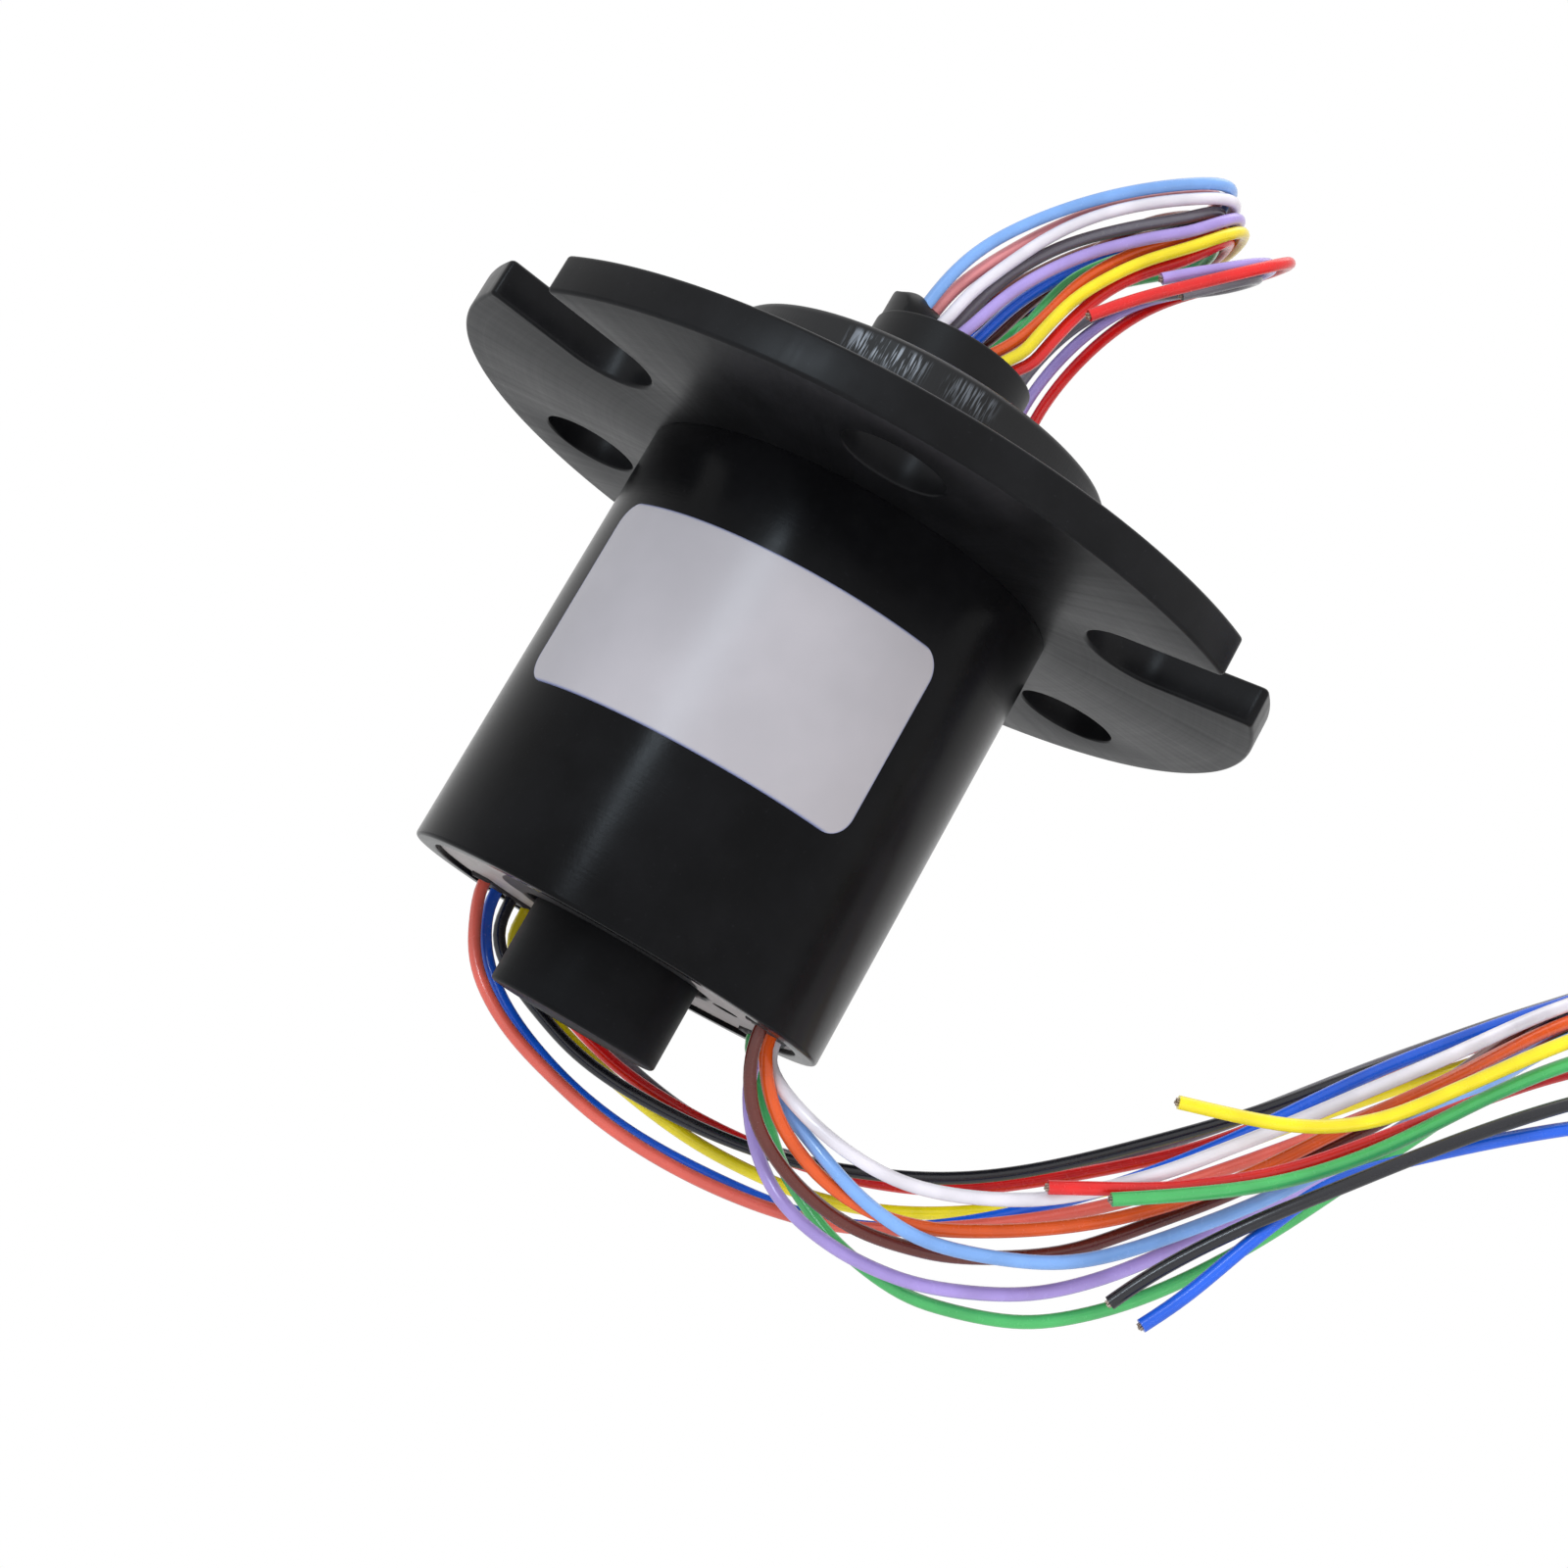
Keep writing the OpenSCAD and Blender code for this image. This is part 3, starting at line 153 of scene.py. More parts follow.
STATOR_ENDS = {
    "black": [(52.25, -5.6, 5), (52.2, -5.6, 2.4), (50.6, -5.9, -1), (46.4, -7.2, -3.4), (41.5, -8.1, -7), (36.7,
        -8.2, -12.2), (33.2, -8.2, -16.5), (31.1, -8, -19), (29.3, -7.5, -21.5), (27.8, -7, -23.9), (26.9, -6.6,
        -25.8)],
    "red": [(52.25, -4.9, 5), (52.2, -4.8, 2.6), (50.4, -4.5, -0.2), (46, -5, -2.4), (41, -5.6, -5.8), (36.6, -5.8,
        -10.9), (34.4, -5.8, -13.5), (31.8, -5.8, -16.4), (29.8, -5.8, -18.1), (27.1, -5.8, -20.1), (24.7, -5.8,
        -21.4), (22.3, -5.8, -22.7)],
    "yellow": [(51.5, -4.9, 5), (51.3, -4.9, 3.6), (49.8, -5, 1.6), (46, -6.2, 0), (41, -7.4, -3.6), (37.5, -7.4,
        -8.2), (35.9, -7.4, -10.2), (34.2, -7.4, -12.4), (32.1, -7.4, -14.1), (29.9, -7.4, -15.2), (27.4, -7.4, -16),
        (25.4, -7.4, -16.6)],
    "green": [(51.5, -6.4, 5), (51.3, -6.4, 3), (49.6, -6.1, 0.6), (45.8, -6.4, -1.4), (41, -6.6, -5.2), (37.8, -6.6,
        -9.3), (36.1, -6.6, -11.8), (34.4, -6.6, -14.1), (32.5, -6.6, -16.2), (30.5, -6.6, -18), (27.7, -6.6, -20),
        (24.9, -6.6, -21.8)],
    "blue": [(53, -5.6, 5), (52.9, -5.6, 2.2), (51.2, -5.6, -2), (47, -6.6, -5), (41.5, -7.3, -8.6), (36.5, -7.4,
        -12.9), (34, -7.4, -15.2), (32.6, -7.4, -17), (31.7, -7.4, -18.9), (30.8, -7.4, -20.9), (29.6, -7.4, -23.9),
        (28.4, -7.4, -26)],
}
ROTOR_TURNS = 4
STATOR_TURNS = 3
ROTOR_STEPS = 260
STATOR_STEPS = 320
END_STEPS = 200
LEAD_STEP = 0.45

# ---------------------------------------------------------------- places in the housing, in millimetres and degrees

SLOT_R = 8.8
SLOT_HALF = 0.55
SEAL_HALF = 0.53
LEAD_SLOTS = {"left": (104, 150), "right": (-36, 30)}
PLATE_T = 1.5
PLATE_INSET = 0.25
SEAL_PROUD = 0.16
LEAD_INSET = 0.15
LABEL_TURN = -104
LUMP_TURN = 190


def bundle_frames(line, side):
    """Unit vectors A and B across a bundle's line: A is the side vector made square to the line, B = T x A."""
    line, side = np.array(line, float), np.array(side, float)
    t = np.vstack([line[1:], line[-1:]]) - np.vstack([line[:1], line[:-1]])
    t /= np.linalg.norm(t, axis=1)[:, None]
    a = side - (side * t).sum(1)[:, None] * t
    a /= np.linalg.norm(a, axis=1)[:, None]
    return a, np.cross(t, a)


def seat_points(line, side, a, b):
    """A lead's places along its bundle: the bundle's line plus its seat's offsets along A and B."""
    across, depth = bundle_frames(line, side)
    return np.array(line, float) + SEAT_A[a] * across + SEAT_B[b] * depth


def smooth_curve(points, steps):
    """Clamped uniform cubic B-spline through its end points: each span blends four neighbours by cubic weights."""
    p = np.array(points, float)
    q = np.vstack([p[:1], p[:1], p, p[-1:], p[-1:]])
    u = np.linspace(0, len(p) + 1, steps)
    i = np.minimum(u.astype(int), len(p))
    t = (u - i)[:, None]
    weights = ((1 - t) ** 3, 3 * t ** 3 - 6 * t ** 2 + 4, -3 * t ** 3 + 3 * t ** 2 + 3 * t + 1, t ** 3)
    return sum(w * q[i + k] for k, w in enumerate(weights)) / 6


def even_steps(points, gap):
    """The same line with points set at even lengths along it, about gap apart."""
    length = np.concatenate([[0], np.cumsum(np.linalg.norm(np.diff(points, axis=0), axis=1))])
    at = np.linspace(0, length[-1], max(2, int(length[-1] / gap)))
    return np.stack([np.interp(at, length, points[:, k]) for k in range(3)], axis=1)


def hank_line(a, b, turns, sign):
    """Racetrack turns of one seat as (along the run, across, along the rows): straight runs joined by half circles.

    The fold's radius is FOLD_R less the seat's depth, and each return run slides one row further along.
    """
    radius = FOLD_R - SEAT_B[b]
    run = np.linspace(0, 1, 14)
    turn = np.linspace(0, np.pi, 22)[1:-1]
    ease = run * run * (3 - 2 * run)
    parts = []
    for k in range(turns):
        row = k * ROW_PITCH + SEAT_A[a]
        level = np.full_like(run, 1.0)
        parts.append(np.stack([run * RUN_LEN, radius * level, row * level], 1))
        parts.append(np.stack([RUN_LEN + radius * np.sin(turn), radius * np.cos(turn), np.full_like(turn, row)], 1))
        parts.append(np.stack([(1 - run) * RUN_LEN, -radius * level, row + ease * ROW_PITCH], 1))
        if k < turns - 1:
            across, next_row = -radius * np.cos(turn), np.full_like(turn, row + ROW_PITCH)
            parts.append(np.stack([-radius * np.sin(turn), across, next_row], 1))
    line = np.vstack(parts)
    line[:, 1] *= sign
    return line


def rotor_hank(a, b):
    """The rotor's hank runs along Y with its rows along X, below the point where the bundle enters it."""
    line = hank_line(a, b, ROTOR_TURNS, 1)
    entry = ROTOR_BUNDLE[-1]
    return np.stack([entry[0] + line[:, 2], entry[1] + line[:, 0], entry[2] - FOLD_R + line[:, 1]], 1)


def stator_hank(a, b):
    """The stator's hank runs along Z with its rows along -Y, beyond the point where the bundle enters it."""
    line = hank_line(a, b, STATOR_TURNS, -1)
    entry = STATOR_BUNDLE[-1]
    return np.stack([entry[0] + FOLD_R + line[:, 1], entry[1] - line[:, 2], entry[2] + line[:, 0]], 1)


def rotor_route(start_x, y, a, b, route, stub_top):
    """Control points from the potting up the lead's own plane, then back and down with the bundle."""
    seat = seat_points(ROTOR_BUNDLE, ROTOR_SIDE, a, b)
    start = [[start_x, y, stub_top - LEAD_SINK], [start_x, y, stub_top + LEAD_START]]
    return np.vstack([start, [[x, y, z] for x, z in route], [[seat[0][0], y + TURN_BACK, seat[0][2]]], seat])


def stator_route(angle, y, a, b, route, exit_r, face):
    """Control points from the slot into the lead's own plane, then on with the bundle; y eases at the start."""
    x0, y0 = exit_r * math.cos(math.radians(angle)), exit_r * math.sin(math.radians(angle))
    start = [[x0, y0, face + LEAD_SINK], [x0, y0, face - LEAD_START]]
    ease = [max(0.0, 1 - (i + 1) / START_POINTS) ** 1.5 for i in range(len(route))]
    lane = [[x, y + (y0 - y) * e, z] for (x, z), e in zip(route, ease)]
    return np.vstack([start, lane, seat_points(STATOR_BUNDLE, STATOR_SIDE, a, b)])


def whole_lead(group, lead, stub_top, exit_r, face):
    """A lead's whole centre line in millimetres: its route, its turns in the hank and, if it comes back, its end.

    A lead that does not come back stops in the hank's last run, a little short of the one before.
    """
    name, start, y, a, b, route = lead
    if group == "rotor":
        line = smooth_curve(rotor_route(start, y, a, b, route, stub_top), ROTOR_STEPS)
        turns, ends = rotor_hank(a, b), ROTOR_ENDS
    else:
        line = smooth_curve(stator_route(start, y, a, b, route, exit_r, face), STATOR_STEPS)
        turns, ends = stator_hank(a, b), STATOR_ENDS
    if name in ends:
        turns = np.vstack([turns[:-1], smooth_curve(ends[name], END_STEPS)[1:]])
    else:
        turns = turns[: -1 - (a + 2 * b) % 4]
    return even_steps(np.vstack([line[:-1], turns]), LEAD_STEP)


# ---------------------------------------------------------------- sizes and colours a user may change


def linear(red, green, blue):
    """Linear colour of an 8-bit display colour."""
    values = np.array([red, green, blue]) / 255
    return tuple(np.where(values <= 0.04045, values / 12.92, ((values + 0.055) / 1.055) ** 2.4))


def length_of(label, text, millimetres):
    """A length property whose default is in millimetres."""
    return bpy.props.FloatProperty(
        name=label, description=text, default=millimetres * MM, min=0.0, subtype="DISTANCE", unit="LENGTH",
        precision=5,
    )


def colour_of(label, text, colour):
    """A colour property."""
    return bpy.props.FloatVectorProperty(
        name=label, description=text, default=colour, size=3, min=0.0, max=1.0, subtype="COLOR"
    )


class SlipRingSizes(bpy.types.PropertyGroup):
    """Sizes of the visible surfaces; they match the frame's own solids."""

    housing_r: length_of("Housing radius", "Outside radius of the shell", 11.0)
    housing_len: length_of("Housing length", "From the flange to the shell's rim", 23.0)
    shell_wall: length_of("Shell wall", "Wall thickness of the shell", 1.4)
    flange_r: length_of("Flange radius", "Outside radius of the flange", 22.0)
    flange_t: length_of("Flange thickness", "Thickness of the flange", 2.0)
    slot_w: length_of("Slot width", "Width of each mounting slot", 5.6)
    slot_reach: length_of("Slot reach", "From the axis to the centre of a slot's round end", 16.75)
    hole_d: length_of("Hole diameter", "Diameter of each mounting hole", 5.2)
    boss_r: length_of("Boss radius", "Radius of the boss on the flange", 10.5)
    boss_top: length_of("Boss top", "Height of the boss's face over the flange's underside", 7.5)
    stub_r: length_of("Stub radius", "Radius of the turning stub", 4.4)
    stub_top: length_of("Stub top", "Height of the stub's end over the flange's underside", 11.3)
    shield_r: length_of("Shield radius", "Radius of the rotor's dust shield", 5.8)
    cap_r: length_of("Cap radius", "Radius of the shaft's end cap", 4.45)
    cap_len: length_of("Cap length", "How far the cap stands out of the shell", 4.0)
    label_w: length_of("Label width", "Width of the label along its curve", 19.0)
    label_h: length_of("Label height", "Height of the label", 9.8)
    label_drop: length_of("Label drop", "From the flange's underside to the label", 4.6)
    lead_d: length_of("Lead diameter", "Diameter over a lead's insulation", 0.65)


class SlipRingColours(bpy.types.PropertyGroup):
    """Colours of the finishes and of the twelve leads."""

    shell: colour_of("Shell", "Black anodised shell", (0.004, 0.004, 0.0046))
    flange: colour_of("Flange", "Black anodised flange", (0.0058, 0.0058, 0.0066))
    rotor: colour_of("Rotor", "Black turned rotor parts", (0.0045, 0.0045, 0.0052))
    plate: colour_of("Plate", "Pale end plate", linear(166, 159, 157))
    label: colour_of("Label", "Bare label film", linear(180, 175, 180))
    potting: colour_of("Potting", "Black potting compound", (0.0048, 0.0048, 0.0054))
    black: colour_of("Black lead", "Insulation of the black leads", linear(24, 24, 30))
    brown: colour_of("Brown lead", "Insulation of the brown leads", linear(96, 38, 30))
    red: colour_of("Red lead", "Insulation of the red leads", linear(222, 26, 26))
    orange: colour_of("Orange lead", "Insulation of the orange leads", linear(228, 88, 24))
    yellow: colour_of("Yellow lead", "Insulation of the yellow leads", linear(244, 222, 22))
    green: colour_of("Green lead", "Insulation of the green leads", linear(74, 182, 100))
    blue: colour_of("Blue lead", "Insulation of the blue leads", linear(22, 92, 216))
    violet: colour_of("Violet lead", "Insulation of the violet leads", linear(170, 148, 216))
    grey: colour_of("Grey lead", "Insulation of the grey leads", linear(108, 104, 112))
    white: colour_of("White lead", "Insulation of the white leads", linear(228, 222, 230))
    pink: colour_of("Pink lead", "Insulation of the rotor's pink lead", linear(240, 150, 150))
    salmon: colour_of("Salmon lead", "Insulation of the stator's pink lead, a deeper pink", linear(222, 96, 82))
    light_blue: colour_of("Light blue lead", "Insulation of the light blue leads", linear(124, 168, 230))


def sizes():
    """Every size in millimetres, by its name."""
    group = bpy.context.scene.slip_ring_sizes
    return {name: getattr(group, name) / MM for name in SlipRingSizes.__annotations__}


def colour(name):
    """A named colour with its alpha."""
    return (*getattr(bpy.context.scene.slip_ring_colours, name), 1.0)


# ---------------------------------------------------------------- finishes


class Wire:
    """One socket of a shader; an expression on wires adds the Math nodes that work it out."""

    def __init__(self, finish, socket):
        self.finish, self.socket = finish, socket

    def __add__(self, other):
        return self.finish.maths("ADD", self, other)

    def __sub__(self, other):
        return self.finish.maths("SUBTRACT", self, other)

    def __rsub__(self, other):
        return self.finish.maths("SUBTRACT", other, self)

    def __mul__(self, other):
        return self.finish.maths("MULTIPLY", self, other)

    __radd__, __rmul__ = __add__, __mul__

    def step(self, low, high):
        """Smooth rise from 0 at low to 1 at high."""
        settings = {"interpolation_type": "SMOOTHSTEP"}
        return self.finish.node("ShaderNodeMapRange", settings, self, low, high, 0.0, 1.0)


class Finish:
    """A node material: node() adds a node, makes its settings and then feeds its inputs in order or by name."""

    def __init__(self, name, **constants):
        self.material = bpy.data.materials.new(name)
        self.material.use_nodes = True
        self.tree = self.material.node_tree
        self.shader = self.tree.nodes["Principled BSDF"]
        for socket, value in constants.items():
            self.shader.inputs[socket.replace("_", " ")].default_value = value
        at = self.node("ShaderNodeTexCoord", out="Object")
        self.place = self.node("ShaderNodeVectorMath", {"operation": "SCALE"}, at, Scale=1 / MM)
        self.x, self.y, self.z = (self.node("ShaderNodeSeparateXYZ", None, self.place, out=k) for k in range(3))

    def node(self, kind, settings=None, *values, out=0, **named):
        made = self.tree.nodes.new(kind)
        for key, value in (settings or {}).items():
            setattr(made, key, value)
        by_name = [(key.replace("_", " "), value) for key, value in named.items()]
        for key, value in [*enumerate(values), *by_name]:
            self.put(made.inputs[key], value)
        return Wire(self, made.outputs[out])

    def put(self, socket, value):
        """Links a wire to a socket, or sets a constant on it."""
        if isinstance(value, Wire):
            self.tree.links.new(value.socket, socket)
        else:
            socket.default_value = value

    def feed(self, socket, wire):
        self.tree.links.new(wire.socket, self.shader.inputs[socket])

    def point(self, x, y, z):
        return self.node("ShaderNodeCombineXYZ", None, x, y, z)

    def noise(self, at, scale, detail=3.0, rough=0.55):
        return self.node("ShaderNodeTexNoise", None, Vector=at, Scale=scale, Detail=detail, Roughness=rough)

    def clouded(self, clouds, tint, dark, light, high=0.7):
        """The tint darkened and lightened by a noise of clouds."""
        return self.blend(clouds.step(0.3, high), shade(tint, dark), shade(tint, light))

    def blend(self, amount, first, second):
        """Colour mix from first to second."""
        made = self.tree.nodes.new("ShaderNodeMix")
        made.data_type = "RGBA"
        for key, value in ((0, amount), (6, first), (7, second)):
            self.put(made.inputs[key], value)
        return Wire(self, made.outputs[2])

    def relief(self, height, strength, depth):
        """Bump from a height, with depth in millimetres."""
        bump = self.node("ShaderNodeBump", None, Strength=strength, Distance=depth * MM, Height=height)
        self.feed("Normal", bump)

    def radius(self):
        return self.maths("SQRT", self.x * self.x + self.y * self.y)

    def angle(self):
        return self.maths("ARCTAN2", self.y, self.x)

    def maths(self, operation, *values):
        return self.node("ShaderNodeMath", {"operation": operation}, *values)


def shade(tint, factor):
    """The colour scaled in brightness, with its alpha kept."""
    return (*(min(1.0, c * factor) for c in tint[:3]), 1.0)


def turned_black(name, tint, gloss, level, lines, streaks=0.0):
    """Black anodised metal off a lathe: fine rings along the axis or across a face, faint clouds and small specks.

    Rings are a noise of height and radius alone; streaks add marks that run up the side, a noise of the angle.
    """
    f = Finish(name, Specular_IOR_Level=level)
    r = f.radius()
    rings = f.noise(f.point(r, 0.0, f.z), lines, 4.0, 0.7)
    clouds = f.noise(f.place, 0.22, 4.0, 0.6)
    specks = f.noise(f.place, 5.5, 2.0, 0.5).step(0.66, 0.78)
    upright = f.noise(f.point(f.angle() * 26.0, f.z * 0.05, 3.0), 1.0, 3.0, 0.6)
    base = f.clouded(clouds, tint, 0.75, 1.5, 0.75)
    base = f.blend(specks * 0.5, base, shade(tint, 3.0))
    f.feed("Base Color", base)
    f.feed("Roughness", (rings - 0.5) * 0.12 + (clouds - 0.5) * 0.16 + (upright - 0.5) * streaks + gloss)
    f.relief(rings * 0.6 + upright * streaks * 1.2 + f.noise(f.place, 9.0, 2.0, 0.6) * 0.35, 0.35, 0.02)
    return f.material


def boss_black(name, tint):
    """Turned black with upright scratches near the boss's top edge, and a painted highlight: a pale bluish colour on
    those scratches, only in the band of angles where the lamp's reflection falls.
    """
    f = Finish(name, Specular_IOR_Level=0.3)
    r, angle = f.radius(), f.angle()
    rings = f.noise(f.point(r, 0.0, f.z), 5.0, 4.0, 0.7)
    clouds = f.noise(f.place, 0.2, 4.0, 0.6)
    scratch = f.noise(f.point(angle * 75.0, f.z * 0.5, 0.0), 1.0, 2.0, 0.7)
    band = f.z.step(5.5, 6.3) * (1 - f.z.step(6.85, 7.2)) * r.step(10.2, 10.4)
    # painted highlight: these angle bands face the lamp, and there the scratches take a pale bluish colour in place
    # of its reflection
    strong = angle.step(-2.08, -1.98) * (1 - angle.step(-1.72, -1.62))
    weak = angle.step(-1.58, -1.48) * (1 - angle.step(-1.36, -1.26))
    painted_highlight = scratch.step(0.49, 0.6) * band * (strong + weak * 0.4)
    side = f.noise(f.point(angle * 30.0, 0.0, 2.0), 1.0, 3.0, 0.6)
    base = f.clouded(clouds, tint, 0.75, 1.5, 0.75)
    f.feed("Base Color", f.blend(painted_highlight * 0.8, base, (0.34, 0.37, 0.42, 1.0)))
    f.feed("Roughness", (rings - 0.5) * 0.14 + (clouds - 0.5) * 0.16 + (side - 0.5) * 0.12 + 0.42)
    f.relief(rings * 0.6 + side * 0.3 + scratch * band * 0.8 + f.noise(f.place, 9.0, 2.0, 0.6) * 0.35, 0.4, 0.02)
    return f.material


def lead_finish(name, tint):
    """Smooth extruded insulation: slight swings of shade along the lead, faint handling scuffs, a thin gloss."""
    f = Finish(name, Specular_IOR_Level=0.45, Coat_Weight=0.25, Coat_Roughness=0.12)
    drift = f.noise(f.place, 0.35, 2.0, 0.5)
    scuffs = f.noise(f.place, 3.2, 4.0, 0.65).step(0.55, 0.8)
    base = f.clouded(drift, tint, 0.86, 1.08)
    f.feed("Base Color", f.blend(scuffs * 0.25, base, shade(tint, 0.7)))
    f.feed("Roughness", scuffs * 0.2 + drift * 0.1 + 0.2)
    f.relief(f.noise(f.place, 2.2, 3.0, 0.6), 0.2, 0.02)
    return f.material


def grainy(name, tint, rough, grain, depth, level=0.4):
    """A fine-grained finish: cloudy shade, grain in the gloss and in the relief."""
    f = Finish(name, Specular_IOR_Level=level)
    clouds = f.noise(f.place, 0.5, 4.0, 0.6)
    fine = f.noise(f.place, grain, 3.0, 0.6)
    base = f.clouded(clouds, tint, 0.75, 1.15)
    f.feed("Base Color", f.blend(fine.step(0.45, 0.75) * 0.3, base, shade(tint, 0.75)))
    f.feed("Roughness", (fine - 0.5) * 0.25 + (clouds - 0.5) * 0.1 + rough)
    f.relief(fine, 0.5, depth)
    return f.material


def plate_finish(tint):
    """Pale moulded plate: fine grain, a few scuffs, and painted shade round the shaft, a near-black patch that stands
    for the shadow between the cap and the shell's rim.

    The painted shade reaches furthest on the front: its edge lies at a radius that a noise of the angle stirs.
    """
    f = Finish("plate_pale", Specular_IOR_Level=0.4)
    clouds, fine = f.noise(f.place, 0.5, 4.0, 0.6), f.noise(f.place, 4.5, 3.0, 0.6)
    # painted shade: this mask lays a near-black patch round the shaft, widest on the front, in place of the shadow
    # the cap and the shell's rim cast
    front = f.y.step(1.0, -2.5) * (1 - f.x.step(2.4, 4.6)) * f.x.step(-7.0, -5.2)
    reach = front * 4.6 + f.noise(f.place, 0.9, 2.0, 0.5) * 0.9 + 4.7
    run = 1 - (f.radius() - reach).step(-0.15, 0.15)
    base = f.clouded(clouds, tint, 0.88, 1.07)
    base = f.blend(fine.step(0.45, 0.75) * 0.3, base, shade(tint, 0.75))
    # the near-black colour blended in here is painted shade
    f.feed("Base Color", f.blend(run, base, (0.009, 0.009, 0.01, 1.0)))
    f.feed("Roughness", (fine - 0.5) * 0.25 + (clouds - 0.5) * 0.1 + 0.5)
    f.relief(fine + run * 2.0, 0.5, 0.015)
    return f.material


def ringed_metal(name, tint, rough):
    """Ground or drawn metal with turning lines round the axis."""
    f = Finish(name, Metallic=1.0)
    rings = f.noise(f.point(f.radius(), 0.0, f.z), 7.0, 4.0, 0.7)
    clouds = f.noise(f.place, 0.4, 3.0, 0.6)
    f.feed("Base Color", f.clouded(clouds, tint, 0.82, 1.08))
    f.feed("Roughness", (rings - 0.5) * 0.2 + (clouds - 0.5) * 0.08 + rough)
    f.relief(rings, 0.3, 0.01)
    return f.material


def label_finish(tint):
    """Satin film, left bare: a cool edge line, faint cross grain and a little unevenness under it."""
    f = Finish("label_film", Specular_IOR_Level=0.35)
    edge = f.node("ShaderNodeAttribute", {"attribute_name": "rim"}, out="Fac")
    clouds = f.noise(f.place, 0.16, 3.0, 0.5)
    grain = f.noise(f.point(f.angle() * 11.0, 0.0, f.z), 14.0, 3.0, 0.7)
    base = f.clouded(clouds, tint, 0.93, 1.04)
    base = f.blend(grain.step(0.4, 0.8) * 0.12, base, shade(tint, 0.8))
    line = 1 - edge.step(0.0, 0.16)
    f.feed("Base Color", f.blend(line * 0.75, base, (0.09, 0.13, 0.34, 1.0)))
    f.feed("Roughness", (clouds - 0.5) * 0.12 + (grain - 0.5) * 0.1 + 0.36)
    f.relief(clouds * 2.0 + grain * 0.25, 0.25, 0.05)
    return f.material


# ---------------------------------------------------------------- surfaces


def grid_faces(rows, columns, close_rows=False, close_columns=False):
    """Quads of a grid of rows x columns points, whose last row or column may join the first."""
    i, j = np.meshgrid(np.arange(rows - (not close_rows)), np.arange(columns - (not close_columns)), indexing="ij")
    down, along = (i + 1) % rows, (j + 1) % columns
    corners = [i * columns + j, i * columns + along, down * columns + along, down * columns + j]
    return np.stack(corners, -1).reshape(-1, 4)


def ease_corners(points, radii, steps=6):
    """A closed line of (r, z) corners, each one turned into a round: a curve from one side to the other through
    the corner, p = (1-u)^2 a + 2u(1-u) c + u^2 b, where a and b lie a radius from the corner c along its sides."""
    c = np.array(points, float)
    before, after = np.roll(c, 1, 0) - c, np.roll(c, -1, 0) - c
    r = np.broadcast_to(np.array(radii, float), len(c))[:, None]
    a = c + before / np.linalg.norm(before, axis=1)[:, None] * r
    b = c + after / np.linalg.norm(after, axis=1)[:, None] * r
    u = np.linspace(0, 1, steps)[None, :, None]
    return ((1 - u) ** 2 * a[:, None] + 2 * u * (1 - u) * c[:, None] + u ** 2 * b[:, None]).reshape(-1, 2)


def revolve(profile, count=256, start=0.0, sweep=2 * np.pi):
    """Points (r cos t, r sin t, z) for every profile point (r, z) and angle t, as rows of one angle each."""
    whole = sweep >= 2 * np.pi
    t = start + np.linspace(0, sweep, count, endpoint=not whole)
    r, z = profile[:, 0], profile[:, 1]
    return np.stack([np.outer(np.cos(t), r), np.outer(np.sin(t), r), np.tile(z, (count, 1))], -1)


def make_piece(name, parts, body, nodes, materials, flat=False, attribute=None):
    """One mesh from parts of (points, faces, material number); points come in millimetres, doubles are merged
    and the faces turned outwards, and the piece takes its body and the nodes it stands for."""
    vertices, faces, numbers, first = [], [], [], 0
    for points, part_faces, number in parts:
        points = np.asarray(points, float).reshape(-1, 3)
        vertices.append(points)
        faces += [tuple(int(k) + first for k in face) for face in part_faces]
        numbers += [number] * len(part_faces)
        first += len(points)
    mesh = bpy.data.meshes.new(name)
    mesh.from_pydata((np.vstack(vertices) * MM).tolist(), [], faces)
    mesh.polygons.foreach_set("material_index", numbers)
    for material in materials:
        mesh.materials.append(material)
    if attribute:
        kept = mesh.attributes.new(attribute[0], "FLOAT", "POINT")
        kept.data.foreach_set("value", np.asarray(attribute[1], float).ravel())
    shell = bmesh.new()
    shell.from_mesh(mesh)
    bmesh.ops.remove_doubles(shell, verts=shell.verts, dist=1e-7)
    bmesh.ops.recalc_face_normals(shell, faces=shell.faces)
    shell.to_mesh(mesh)
    shell.free()
    mesh.polygons.foreach_set("use_smooth", [not flat] * len(mesh.polygons))
    mesh.set_sharp_from_angle(angle=math.radians(32))
    mesh.update()
    made = bpy.data.objects.new(name, mesh)
    bpy.context.scene.collection.objects.link(made)
    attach(made, body)
    if nodes:
        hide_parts(*nodes)
    return made


def ring_part(profile, number=0, count=256):
    """A full turn of a closed profile as a part for make_piece."""
    return revolve(profile, count), grid_faces(count, len(profile), True, True), number


def crossings(points, loops):
    """Whether each point lies inside the loops, by the odd-even count of edges that a line from it crosses."""
    inside = np.zeros(len(points), bool)
    for loop in loops:
        a, b = loop[None], np.roll(loop, -1, 0)[None]
        px, py = points[:, None, 0], points[:, None, 1]
        spans = (a[..., 1] > py) != (b[..., 1] > py)
        rise = np.where(b[..., 1] == a[..., 1], 1.0, b[..., 1] - a[..., 1])
        cross = a[..., 0] + (py - a[..., 1]) * (b[..., 0] - a[..., 0]) / rise
        inside ^= ((spans & (px < cross)).sum(1) % 2).astype(bool)
    return inside


